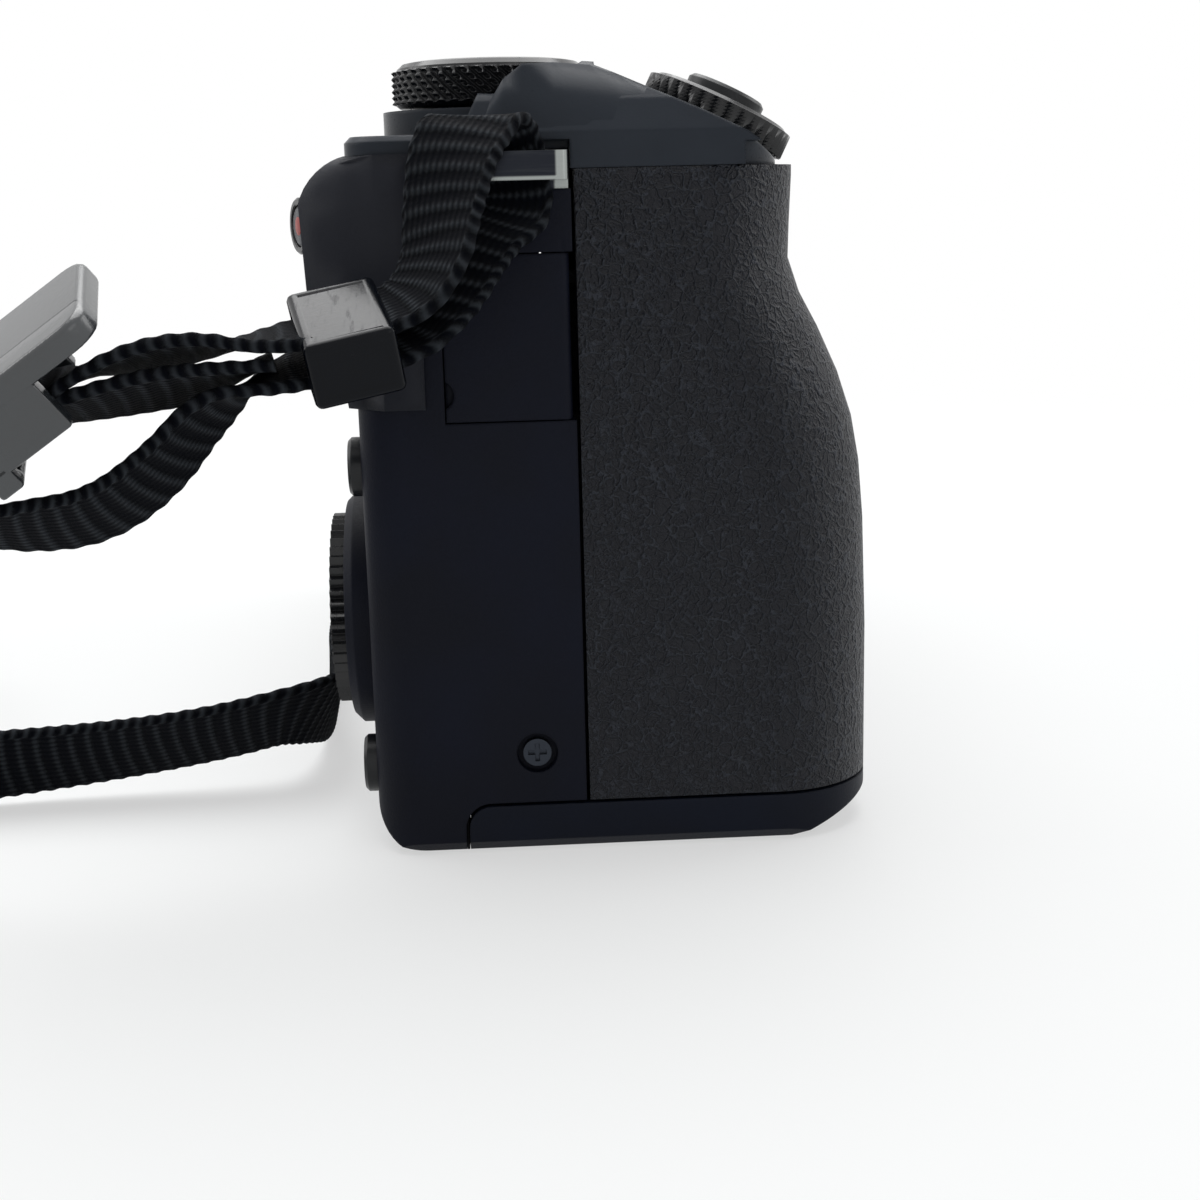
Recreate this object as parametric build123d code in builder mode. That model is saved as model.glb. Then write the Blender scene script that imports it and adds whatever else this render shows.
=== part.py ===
from build123d import *
import os
from math import cos, dist, pi, radians, sin, tan

os.makedirs("parts", exist_ok=True)

# Millimetres. +Z is up, +Y is the back, -Y the lens side and -X the grip side.
# The origin is the mouth of the tripod socket, in the base plane under the lens axis.

# Body envelope
grip_side_x = -64.5
far_side_x = 46.4
back_y = 19.5
front_y = -13.5
seam_y = 0.8
case_height = 58.9
base_height = 4.2
rear_corner = 3.5
far_corner = 6.0
base_round = 4.5
foot_chamfer = 1.0
case_wall = 1.5
seam_gap = 0.3
running_gap = 0.06
slide_gap = 0.12
seat_gap = 0.3

# Foot: battery door on the grip side, base plate on the rest
door_back_y = 11.4
door_corner = 2.0
door_split_x = -37.4
door_wall = 1.3
door_floor = 1.5
door_hinge_radius = 1.0
door_pin_radius = 0.5
door_pin_length = 1.1
door_hinge_z = 1.15
door_hinge_front_y = -9.0
door_hinge_back_y = 8.0
hinge_ear = 1.8
undercut_back_y = -17.5
undercut_front_y = -25.4
undercut_rise = 3.0
latch_x = -56.0
latch_y = -8.0
latch_length = 6.6
latch_width = 4.3
latch_travel = 2.6

# Grip: how far it reaches forward at each height, the last one being at grip_top
grip_reach = [
    (0, 25.4),
    (18, 25.4),
    (28, 25.1),
    (33, 24.7),
    (37, 24.0),
    (41, 22.7),
    (45, 20.9),
    (48, 19.3),
    (51, 18.3),
    (54, 18.4),
    (58, 18.6),
    (62, 18.6),
]
grip_top = case_height + 3.1
top_reach = 17.2
grip_corner = 9.0
grip_knee_x = -43.5
grip_knee_round = 3.5
grip_root_x = -36.5
rubber_thick = 1.2
rubber_top = case_height - 0.05
grip_wall = 1.4

# Lens mount
lens_z = 31.0
flange_y = -22.0
ring_thick = 1.8
bayonet_radius = 24.3
ring_radius = bayonet_radius + 2.9
throat_radius = bayonet_radius - 1.3
bayonet_gap_angle = 26.0
tower_front_y = flange_y + ring_thick
tower_half_width = ring_radius + 1.8
tower_corner = 9.0
tower_edge = 1.2
mount_tube_radius = bayonet_radius + 1.7
mount_screw_circle = bayonet_radius + 1.0
flange_to_sensor = 18.0
baffle_front_y = -16.5
lock_pin_radius = 0.7
lock_pin_circle = bayonet_radius + 0.85
lock_pin_angle = -20.0
lock_pin_out = 1.0
release_x = 34.6
release_z = 19.0
release_radius = 4.5
release_out = 2.9

# Shutter and sensor
chassis_thick = 1.3
frame_width = 24.4
frame_height = 16.4
shutter_half_width = 20.0
shutter_thick = 4.0
curtain_thick = 0.4
curtain_height = 17.0
sensor_width = 30.0
sensor_height = 22.0

# Battery, card and ports
battery_size = (17.6, 21.6, 42.0)
battery_right_x = -39.4
battery_front_y = -10.0
card_size = (2.1, 24.0, 32.0)
card_left_x = -60.7
card_front_y = -11.9
bay_gap = 0.2
bay_wall = 0.8
bay_bottom = 5.0

# Screen pocket, tilt plate and screen
pocket_left = -36.2
pocket_right = 40.2
pocket_bottom = 4.2
pocket_floor_y = 14.6
pocket_wall = 1.5
screen_side_gap = 2.4
screen_front_y = 17.0
screen_thick = 4.0
screen_bottom = 8.2
screen_top = case_height - 2.9
hinge_pin_radius = 0.9
knuckle_radius = 1.5
tilt_axis_y = 17.5
tilt_axis_z = 6.0
flip_axis_y = 19.0
flip_axis_z = case_height - 1.9
tilt_plate_thick = 1.0
glass_thick = 1.1

# Rear wheel and what carries it
wheel_x = -48.6
wheel_z = 19.2
wheel_radius = 8.9
wheel_teeth = 50
wheel_tooth_depth = 0.5
wheel_front_y = 16.6
wheel_back_y = 23.3
wheel_bore = 5.0
well_radius = 9.5
well_wall = 1.2
well_floor_y = 14.5
collar_radius = 10.9
collar_back_y = 21.9
gimbal_front_y = 15.0
gimbal_thick = 1.0
gimbal_outer = 8.9
gimbal_inner = 7.0
gimbal_pin_radius = 0.35
rocker_radius = 6.5
set_button_radius = 4.0
set_button_back_y = 22.8

# Back buttons and the movie button on the thumb rest
button_radius = 2.6
button_back_y = 20.7
upper_button_z = 34.0
lower_button_z = 6.9
outer_button_x = -58.6
inner_button_x = -41.2
thumb_pad_proud = 0.5
thumb_pad_front_y = 13.6
thumb_pad_right_x = -44.5
thumb_pad_bulge = [
    (case_height - 19.4, 0.7),
    (case_height - 14.4, 1.5),
    (case_height - 9.4, 3.7),
    (case_height - 2.4, 4.0),
    (case_height + 1.4, 3.3),
]
movie_x = -58.4
movie_z = case_height - 4.2
movie_turn = 23.0
movie_face_y = 24.0
movie_radius = 2.4
movie_thick = 1.6

# Terminal cover on the grip side
terminal_front_y = 1.25
terminal_back_y = 11.9
terminal_top = case_height - 6.7
terminal_bottom = terminal_top - 14.0
terminal_thick = 1.2
terminal_pin_radius = 0.4
terminal_pin_length = 0.9

# Strap lugs
lug_front_y = 1.2
lug_back_y = 12.4
lug_low = case_height - 0.9
lug_high = case_height + 1.4
lug_bar = 0.9
lug_clear = 1.8
lug_window_low = case_height - 1.6
lug_window_high = case_height + 2.3

# Screws
screw_head_radius = 1.25
screw_head_thick = 0.7
screw_recess_radius = 1.8
screw_recess_depth = 0.9
screw_shank_radius = 0.6
screw_shank = 1.7
side_screw_y = 5.2
side_screw_z = 9.0
base_screw_places = [(-31.0, 8.5), (-31.0, -8.5), (33.0, 8.5), (33.0, -8.5)]

# Top cover
tier_top = case_height + 2.9
top_ceiling = case_height + 1.6
deck_top = case_height + 5.6
island_top = case_height + 9.1
island_right_x = -43.0
slope_right_x = -41.5
slope_line = [
    (-1.5, island_top - 0.7),
    (-6.0, island_top - 2.8),
    (-10.3, island_top - 4.7),
    (-13.7, island_top - 6.4),
    (-16.5, island_top - 8.35),
    (-top_reach - 8, island_top - 15.0),
]
dial_foot_half = 7.0
deck_left_x = -38.0
deck_far_x = 43.4
deck_back_y = 14.2
exposure_x = -52.5
exposure_y = 7.2
exposure_radius = 8.6
exposure_low = case_height + 5.4
exposure_high = case_height + 9.2
exposure_collar_radius = 9.4
exposure_collar_top = case_height + 5.1
mode_x = -27.0
mode_y = 4.0
mode_radius = 9.4
mode_high = case_height + 9.0
dial_shaft_radius = 2.0
main_dial_x = -49.0
main_dial_y = -13.54
main_dial_z = case_height + 5.64
main_dial_lean = 25.7
main_dial_radius = 6.9
main_dial_thick = 2.7
main_dial_teeth = 32
main_spigot_radius = 4.5
shutter_button_radius = 3.65
shutter_button_out = 1.2
power_x = -34.6
power_y = -6.8
power_radius = 2.2

# Hot shoe
shoe_half_width = 10.65
shoe_slot_half = 9.3
shoe_mouth_half = 6.3
shoe_front_y = -5.0
shoe_back_y = 13.2
shoe_floor = 0.6
shoe_slot_height = 2.1
shoe_lip = 0.8

# Pop-up flash
flash_left = 14.2
flash_right = 39.8
flash_front_y = -11.1
flash_pocket_floor = case_height - 0.2
flash_hinge_y = 6.0
flash_hinge_z = case_height + 1.3
flash_arm_length = 12.0
flash_arm_wide = 1.0
flash_head_front_y = -10.8
flash_head_back_y = -3.2
flash_head_low = case_height + 0.2
flash_lid_back_y = 8.1
flash_relief = 4.85
flash_pin_radius = 0.6
flash_switch_x = 28.0
flash_switch_y = 12.6

# Neck strap: webbing, keepers and buckles
webbing_width = 8.5
webbing_thick = 1.2
webbing_cord_radius = 0.6
keeper_width = 11.0
keeper_height = 5.3
keeper_length = 7.0
keeper_wall = 0.55
buckle_width = 13.4
buckle_length = 14.0
buckle_plate = 2.0
buckle_leg_thick = 1.9
buckle_leg_depth = 5.1
buckle_leg_length = 8.0
buckle_bar_low = 5.6
buckle_bar_high = 6.5
buckle_bar_length = 2.2
strap_drawn_height = 58.9

# Coil of the strap's middle stretch, lying on its edge on the floor
coil_centre = (-22.0, 98.0)
coil_pitch = 3.4
coil_eye = 9.0
coil_arcs = 7
coil_lead = 3.0


def body_plan(inset):
    """Outline of the body seen from above, drawn in by inset."""
    with BuildSketch() as plan:
        with Locations(((grip_side_x + far_side_x) / 2, (front_y + back_y) / 2)):
            Rectangle(far_side_x - grip_side_x - 2 * inset, back_y - front_y - 2 * inset)
        fillet(plan.vertices().group_by(Axis.X)[-1], far_corner - inset)
        left_corners = plan.vertices().group_by(Axis.X)[0]
        fillet(left_corners.sort_by(Axis.Y)[-1], rear_corner - inset)
    return plan.sketch


def grip_section(reach, inset):
    """Plan of the grip at one height; its open end runs back into the body."""
    with BuildSketch() as section:
        with BuildLine():
            Polyline(
                (grip_side_x, seam_y + 6),
                (grip_side_x, -reach),
                (grip_knee_x, -reach),
                (grip_root_x, front_y),
                (grip_root_x + 7, front_y),
                (grip_root_x + 7, seam_y + 6),
                close=True,
            )
        make_face()
        front_corner = section.vertices().sort_by_distance((grip_side_x, -reach, 0))[0]
        fillet(front_corner, grip_corner)
        knee = section.vertices().sort_by_distance((grip_knee_x, -reach, 0))[0]
        fillet(knee, grip_knee_round)
        if inset > 0:
            offset(amount=-inset, mode=Mode.REPLACE)
    return section.sketch


def foot_plan(inset):
    """Outline of the camera's foot: body, grip and lens tower together."""
    with BuildSketch() as plan:
        add(body_plan(inset))
        add(grip_section(grip_reach[0][1], inset))
        with Locations((0, (tower_front_y + inset) / 2)):
            Rectangle(2 * (tower_half_width - inset), -tower_front_y - inset)
    return plan.sketch


def top_plan(inset):
    """Outline of the top cover: body and the top of the grip."""
    with BuildSketch() as plan:
        add(body_plan(inset))
        add(grip_section(top_reach, inset))
    return plan.sketch


def side_profile(inset):
    """Outline seen from the grip side: rounded lower back edge, undercut front edge."""
    top = island_top + 20
    with BuildSketch() as profile:
        with BuildLine():
            Polyline(
                (back_y - inset, top),
                (back_y - inset, inset),
                (undercut_back_y, inset),
                (undercut_front_y, undercut_rise + inset),
                (undercut_front_y - 15, undercut_rise + inset),
                (undercut_front_y - 15, top),
                close=True,
            )
        make_face()
        back_foot = profile.vertices().sort_by_distance((back_y - inset, inset, 0))[0]
        fillet(back_foot, base_round - inset)
    return profile.sketch


def front_profile(inset):
    """Outline seen from the front, with chamfered lower edges."""
    height = island_top + 20
    with BuildSketch() as profile:
        with Locations(((grip_side_x + far_side_x) / 2, inset)):
            Rectangle(far_side_x - grip_side_x - 2 * inset, height, align=(Align.CENTER, Align.MIN))
        chamfer(profile.vertices().group_by(Axis.Y)[0], foot_chamfer)
    return profile.sketch


def case_block(plan, inset, bottom, top):
    """Solid over a plan between two heights, trimmed to the outlines of side and front."""
    with BuildPart() as solid:
        with BuildSketch(Plane.XY.offset(bottom)):
            add(plan)
        extrude(amount=top - bottom)
        with BuildSketch(Plane.YZ.offset(grip_side_x - 5)):
            add(side_profile(inset))
        extrude(amount=far_side_x - grip_side_x + 10, mode=Mode.INTERSECT)
        with BuildSketch(Plane.XZ.offset(-back_y - 5)):
            add(front_profile(inset))
        extrude(amount=back_y - undercut_front_y + 20, mode=Mode.INTERSECT)
    return solid.part


def grip_block(inset):
    """Solid of the grip over its full height, drawn in by inset."""
    with BuildPart() as solid:
        for height, reach in grip_reach:
            with BuildSketch(Plane.XY.offset(height * grip_top / grip_reach[-1][0])):
                add(grip_section(reach, inset))
        loft(ruled=True)
    return solid.part


def back_plane(y):
    """Plane across the body at y; extruding by a positive amount runs to the front."""
    return Plane(origin=(0, y, 0), x_dir=(1, 0, 0), z_dir=(0, -1, 0))


def side_plane(x):
    """Plane along the body at x; extruding by a positive amount runs to +X."""
    return Plane(origin=(x, 0, 0), x_dir=(0, 1, 0), z_dir=(1, 0, 0))


def block(x, y, z, mode=Mode.ADD):
    """Box between two limits along each axis."""
    with Locations(((x[0] + x[1]) / 2, (y[0] + y[1]) / 2, (z[0] + z[1]) / 2)):
        Box(x[1] - x[0], y[1] - y[0], z[1] - z[0], mode=mode)


def drum(plane, centre, radius, length, mode=Mode.ADD):
    """Cylinder standing on a plane."""
    with BuildSketch(plane) as disc:
        with Locations(centre):
            Circle(radius)
    extrude(disc.sketch, amount=length, mode=mode)


def cross_recess(plane, centre, size, depth):
    """Cross slot in a screw head, cut along the plane's normal."""
    with BuildSketch(plane) as cross:
        with Locations(centre):
            Rectangle(size, size / 4)
            Rectangle(size / 4, size)
    extrude(cross.sketch, amount=depth, mode=Mode.SUBTRACT)


def toothed_ring(plane, centre, radius, depth, teeth, length):
    """Round rim with pointed teeth standing on a plane."""
    points = []
    for tooth in range(2 * teeth):
        angle = pi * tooth / teeth
        reach = radius if tooth % 2 == 0 else radius - depth
        points.append((centre[0] + reach * cos(angle), centre[1] + reach * sin(angle)))
    with BuildSketch(plane) as rim:
        with BuildLine():
            Polyline(*points, close=True)
        make_face()
    extrude(rim.sketch, amount=length)


def case_screw(plane, centre):
    """Countersunk case screw whose head faces out of the plane's back."""
    seat = plane.offset(screw_recess_depth - screw_head_thick)
    drum(seat, centre, screw_head_radius, screw_head_thick)
    drum(seat.offset(screw_head_thick), centre, screw_shank_radius, screw_shank)
    cross_recess(seat, centre, screw_head_radius * 1.3, screw_head_thick / 2)


def screw_hole(plane, centre):
    """Recess and hole for a case screw."""
    drum(plane.offset(-1), centre, screw_recess_radius, screw_recess_depth + 1, Mode.SUBTRACT)
    drum(plane, centre, screw_shank_radius + running_gap, 2 * screw_shank, Mode.SUBTRACT)


case_x = (grip_side_x - 10, far_side_x + 10)
case_y = (undercut_front_y - 10, back_y + 10)
above = island_top + 10

body_outer = case_block(body_plan(0), 0, 0, case_height)
body_inner = case_block(body_plan(case_wall), case_wall, case_wall, above)
grip_outer = grip_block(0)
grip_core = grip_block(rubber_thick)
grip_inner = grip_block(rubber_thick + grip_wall)

# The region under the seam that the battery door and the base plate fill
with BuildPart() as foot_region:
    with BuildSketch(Plane.YZ.offset(case_x[0])) as foot_side:
        with Locations((case_y[0], -5)):
            Rectangle(door_back_y - case_y[0], base_height + 5, align=(Align.MIN, Align.MIN))
        upper_back = foot_side.vertices().sort_by_distance((door_back_y, base_height, 0))[0]
        fillet(upper_back, door_corner)
    extrude(amount=case_x[1] - case_x[0])

with BuildPart() as foot_clearance:
    with BuildSketch(Plane.YZ.offset(case_x[0])) as clearance_side:
        with Locations((case_y[0], -5)):
            Rectangle(
                door_back_y + seam_gap - case_y[0],
                base_height + seam_gap + 5,
                align=(Align.MIN, Align.MIN),
            )
        corner_place = (door_back_y + seam_gap, base_height + seam_gap, 0)
        fillet(clearance_side.vertices().sort_by_distance(corner_place)[0], door_corner + seam_gap)
    extrude(amount=case_x[1] - case_x[0])

# Places shared by several pieces
well_centre = (wheel_x, wheel_z)
gimbal_axis_y = gimbal_front_y + gimbal_thick / 2
well_front_y = well_floor_y - well_wall
terminal_axis = (grip_side_x + terminal_thick / 2, terminal_front_y + terminal_thick / 2)
terminal_ends = (terminal_bottom + slide_gap, terminal_top - slide_gap)
movie_plane = Plane(
    origin=(movie_x, movie_face_y, movie_z),
    x_dir=(cos(radians(movie_turn)), sin(radians(movie_turn)), 0),
    z_dir=(-sin(radians(movie_turn)), cos(radians(movie_turn)), 0),
)
movie_stem_radius = movie_radius / 2
back_buttons = {
    "magnify_button": (outer_button_x, upper_button_z),
    "menu_button": (inner_button_x, upper_button_z),
    "playback_button": (outer_button_x, lower_button_z),
    "info_button": (inner_button_x, lower_button_z),
}
board_y = (4.6, 5.8)
board_x = (-34.0, 36.0)
board_z = (8.0, case_height - 2.9)
board_post_places = [(x, z) for x in (-30.0, 32.0) for z in (12.0, case_height - 6.9)]
board_post_radius = 1.8
tilt_plate_y = (pocket_floor_y + 0.4, pocket_floor_y + 0.4 + tilt_plate_thick)
screen_left = pocket_left + screen_side_gap
screen_right = pocket_right - screen_side_gap
screen_back_y = screen_front_y + screen_thick

# Rear cover: back wall, rear corners and half of each side, with the screen pocket
with BuildPart() as rear_cover:
    add(body_outer)
    add(body_inner, mode=Mode.SUBTRACT)
    block(case_x, (case_y[0], seam_y + seam_gap / 2), (-5, above), Mode.SUBTRACT)
    add(foot_clearance.part, mode=Mode.SUBTRACT)
    # Tub behind the screen
    block(
        (pocket_left - pocket_wall, pocket_right + pocket_wall),
        (pocket_floor_y - pocket_wall, back_y - 0.4),
        (pocket_bottom - pocket_wall, case_height),
    )
    block(
        (pocket_left, pocket_right),
        (pocket_floor_y, back_y + 5),
        (pocket_bottom, case_height + 5),
        Mode.SUBTRACT,
    )
    pin_bore = hinge_pin_radius + running_gap
    drum(
        side_plane(pocket_left - 1),
        (tilt_axis_y, tilt_axis_z),
        pin_bore,
        pocket_right - pocket_left + 2,
        Mode.SUBTRACT,
    )
    for x, z in board_post_places:
        drum(
            back_plane(pocket_floor_y - 0.5),
            (x, z),
            board_post_radius,
            pocket_floor_y - 0.5 - board_y[1],
        )
    # Collar and well of the rear wheel
    drum(back_plane(back_y - 0.5), well_centre, collar_radius, back_y - 0.5 - collar_back_y)
    collar_rim = rear_cover.faces().sort_by(Axis.Y)[-1].edges()
    chamfer(collar_rim, 0.8)
    drum(back_plane(back_y - 0.5), well_centre, well_radius + well_wall, back_y - 0.5 - well_front_y)
    drum(
        back_plane(collar_back_y + 1),
        well_centre,
        well_radius,
        collar_back_y + 1 - well_floor_y,
        Mode.SUBTRACT,
    )
    gimbal_pin_bore = gimbal_pin_radius + running_gap
    gimbal_hole_reach = well_radius + well_wall - 0.2
    drum(
        side_plane(wheel_x - gimbal_hole_reach),
        (gimbal_axis_y, wheel_z),
        gimbal_pin_bore,
        2 * gimbal_hole_reach,
        Mode.SUBTRACT,
    )
    for place in back_buttons.values():
        drum(back_plane(back_y + 1), place, button_radius + slide_gap, case_wall + 2, Mode.SUBTRACT)
    drum(movie_plane, (0, 0), movie_stem_radius + slide_gap, -9, Mode.SUBTRACT)
    # Hinge bosses and opening for the terminal cover
    for low, high in ((terminal_bottom - 2.2, terminal_bottom), (terminal_top, terminal_top + 2.2)):
        block(
            (grip_side_x + case_wall - 0.5, grip_side_x + case_wall + 0.9),
            (seam_y + seam_gap / 2, terminal_front_y + 2.2),
            (low, high),
        )
    block(
        (grip_side_x - 1, grip_side_x + case_wall + 2),
        (seam_y - 1, terminal_back_y + slide_gap),
        (terminal_bottom, terminal_top),
        Mode.SUBTRACT,
    )
    drum(
        Plane.XY.offset(terminal_bottom - terminal_pin_length),
        terminal_axis,
        terminal_pin_radius + running_gap,
        terminal_top - terminal_bottom + 2 * terminal_pin_length,
        Mode.SUBTRACT,
    )
    # Windows for the strap lugs, and the side screws
    for outside, inside in (
        (grip_side_x - 1, grip_side_x + case_wall + 0.1),
        (far_side_x + 1, far_side_x - case_wall - 0.1),
    ):
        block(
            sorted((outside, inside)),
            (seam_y - 1, lug_back_y + 0.4),
            (lug_window_low, case_height + 1),
            Mode.SUBTRACT,
        )
    screw_hole(side_plane(grip_side_x), (side_screw_y, side_screw_z))
    screw_hole(
        Plane(origin=(far_side_x, 0, 0), x_dir=(0, 1, 0), z_dir=(-1, 0, 0)),
        (side_screw_y, -side_screw_z),
    )
rear_cover.part.label = "rear_cover"
export_step(rear_cover.part, "parts/rear_cover.step")

# Front cover: front wall, the core under the grip rubber and the tower round the lens mount
tower_low = base_height + seam_gap
front_seam = seam_y - seam_gap / 2
release_centre = (release_x, release_z)
lens_centre = (0, lens_z)

with BuildPart() as lens_tower:
    with BuildSketch(back_plane(front_y + 1)):
        with Locations((0, (tower_low + case_height) / 2)):
            RectangleRounded(2 * tower_half_width, case_height - tower_low, tower_corner)
    extrude(amount=front_y + 1 - tower_front_y)
    chamfer(lens_tower.faces().sort_by(Axis.Y)[0].edges(), tower_edge)

with BuildPart() as front_outer:
    add(body_outer)
    block((case_x[0], door_split_x), case_y, (-5, above), Mode.SUBTRACT)
    add(grip_core)
    add(lens_tower.part)

with BuildPart() as front_space:
    add(body_inner)
    block((case_x[0], grip_root_x + 1), case_y, (-5, above), Mode.SUBTRACT)
    add(grip_inner)

with BuildPart() as front_cover:
    add(front_outer.part)
    add(front_space.part, mode=Mode.SUBTRACT)
    block(case_x, (front_seam, case_y[1]), (-5, above), Mode.SUBTRACT)
    block(case_x, case_y, (-5, tower_low), Mode.SUBTRACT)
    block(case_x, case_y, (case_height, above), Mode.SUBTRACT)
    drum(back_plane(front_y + 5), lens_centre, mount_tube_radius + slide_gap, 20, Mode.SUBTRACT)
    drum(back_plane(front_y + 5), release_centre, release_radius + slide_gap, 20, Mode.SUBTRACT)
    block(
        (far_side_x - case_wall - 0.1, far_side_x + 1),
        (lug_front_y - 0.6, case_y[1]),
        (lug_window_low, case_height + 1),
        Mode.SUBTRACT,
    )
front_cover.part.label = "front_cover"
export_step(front_cover.part, "parts/front_cover.step")

# Rubber skin round the grip
with BuildPart() as grip_rubber:
    add(grip_outer)
    add(grip_core, mode=Mode.SUBTRACT)
    block(case_x, (front_seam, case_y[1]), (-5, above), Mode.SUBTRACT)
    block((door_split_x, case_x[1]), case_y, (-5, above), Mode.SUBTRACT)
    block(case_x, case_y, (-5, tower_low), Mode.SUBTRACT)
    block(case_x, case_y, (rubber_top, above), Mode.SUBTRACT)
grip_rubber.part.label = "grip_rubber"
export_step(grip_rubber.part, "parts/grip_rubber.step")

# Base plate: shallow tray that closes the foot beside the battery door
door_axis = (door_split_x - door_hinge_radius + 0.1, door_hinge_z)
socket_outer_radius = 5.4
socket_flange_radius = 6.2
base_floor = 1.6
with BuildPart() as base_plate:
    add(case_block(foot_plan(0), 0, 0, base_height))
    add(case_block(foot_plan(case_wall), base_floor, base_floor, above), mode=Mode.SUBTRACT)
    add(foot_region.part, mode=Mode.INTERSECT)
    block((case_x[0], door_split_x + seam_gap), case_y, (-5, above), Mode.SUBTRACT)
    ear_low_y = door_hinge_front_y - slide_gap - hinge_ear
    ear_high_y = door_hinge_back_y + slide_gap
    for ear_y in (ear_low_y, ear_high_y):
        block(
            (door_axis[0] - 0.9, door_split_x + 3),
            (ear_y, ear_y + hinge_ear),
            (0.25, door_hinge_z + 1.0),
        )
    drum(
        back_plane(ear_high_y + door_pin_length),
        door_axis,
        door_pin_radius + running_gap,
        ear_high_y - ear_low_y - hinge_ear + 2 * door_pin_length,
        Mode.SUBTRACT,
    )
    drum(Plane.XY.offset(base_floor), (0, 0), socket_outer_radius + 1.5, 0.8)
    drum(Plane.XY.offset(-1), (0, 0), socket_outer_radius + slide_gap, 6, Mode.SUBTRACT)
    for place in base_screw_places:
        drum(Plane.XY.offset(base_floor - 0.1), place, 2.4, base_height - base_floor)
        screw_hole(Plane.XY, place)
base_plate.part.label = "base_plate"
export_step(base_plate.part, "parts/base_plate.step")

# Battery door: the foot of the grip, hinged beside the base plate
latch_slot_length = latch_length + latch_travel + 2 * slide_gap
latch_slot_left = latch_x - latch_length / 2 - slide_gap
with BuildPart() as battery_door:
    add(case_block(foot_plan(0), 0, 0, base_height))
    add(case_block(foot_plan(door_wall), door_floor, door_floor, above), mode=Mode.SUBTRACT)
    add(foot_region.part, mode=Mode.INTERSECT)
    block((door_axis[0], case_x[1]), case_y, (-5, above), Mode.SUBTRACT)
    # A low rim inside the back edge closes the tray.
    block(
        (grip_side_x + door_wall, door_axis[0] - 2),
        (door_back_y - door_wall, door_back_y - 0.1),
        (door_floor - 0.5, base_height - 1.4),
    )
    for ear_y in (ear_low_y, ear_high_y):
        block(
            (door_axis[0] - 1.3, door_axis[0] + 1),
            (ear_y - slide_gap, ear_y + hinge_ear + slide_gap),
            (-1, base_height),
            Mode.SUBTRACT,
        )
    block(
        (door_axis[0] - 1.3, door_axis[0] + 1),
        (door_hinge_front_y, door_hinge_back_y),
        (door_hinge_z, base_height),
        Mode.SUBTRACT,
    )
    drum(
        back_plane(door_hinge_back_y),
        door_axis,
        door_hinge_radius,
        door_hinge_back_y - door_hinge_front_y,
    )
    drum(
        back_plane(door_hinge_back_y + door_pin_length),
        door_axis,
        door_pin_radius,
        door_hinge_back_y - door_hinge_front_y + 2 * door_pin_length,
    )
    block(
        (latch_slot_left, latch_slot_left + latch_slot_length),
        (latch_y - latch_width / 2 - slide_gap, latch_y + latch_width / 2 + slide_gap),
        (-1, door_floor + 1),
        Mode.SUBTRACT,
    )
battery_door.part.label = "battery_door"
export_step(battery_door.part, "parts/battery_door.step")

# Latch slider of the battery door, with finger ribs and a flange inside
latch_flange_thick = 0.7
with BuildPart() as battery_door_latch:
    latch_ends = (latch_x - latch_length / 2, latch_x + latch_length / 2)
    latch_sides = (latch_y - latch_width / 2, latch_y + latch_width / 2)
    block(latch_ends, latch_sides, (0.3, door_floor + slide_gap))
    block(
        (latch_ends[0] - 1.6, latch_ends[1] + 1.6 + latch_travel),
        (latch_sides[0] - 1.0, latch_sides[1] + 1.0),
        (door_floor + slide_gap, door_floor + slide_gap + latch_flange_thick),
    )
    for rib in range(4):
        rib_x = latch_x - 2.1 + 1.4 * rib
        block(
            (rib_x - 0.25, rib_x + 0.25),
            (latch_sides[0] + 0.5, latch_sides[1] - 0.5),
            (0.2, 0.6),
            Mode.SUBTRACT,
        )
battery_door_latch.part.label = "battery_door_latch"
export_step(battery_door_latch.part, "parts/battery_door_latch.step")

# Tripod socket: threaded bush seated on the base plate's rim
socket_depth = 5.5
socket_thread_radius = 3.175
with BuildPart() as tripod_socket:
    drum(Plane.XY, (0, 0), socket_outer_radius, base_floor + 0.8)
    drum(
        Plane.XY.offset(base_floor + 0.8),
        (0, 0),
        socket_flange_radius,
        socket_depth + 0.9 - base_floor - 0.8,
    )
    drum(Plane.XY, (0, 0), socket_thread_radius, socket_depth, Mode.SUBTRACT)
tripod_socket.part.label = "tripod_socket"
export_step(tripod_socket.part, "parts/tripod_socket.step")

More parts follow.
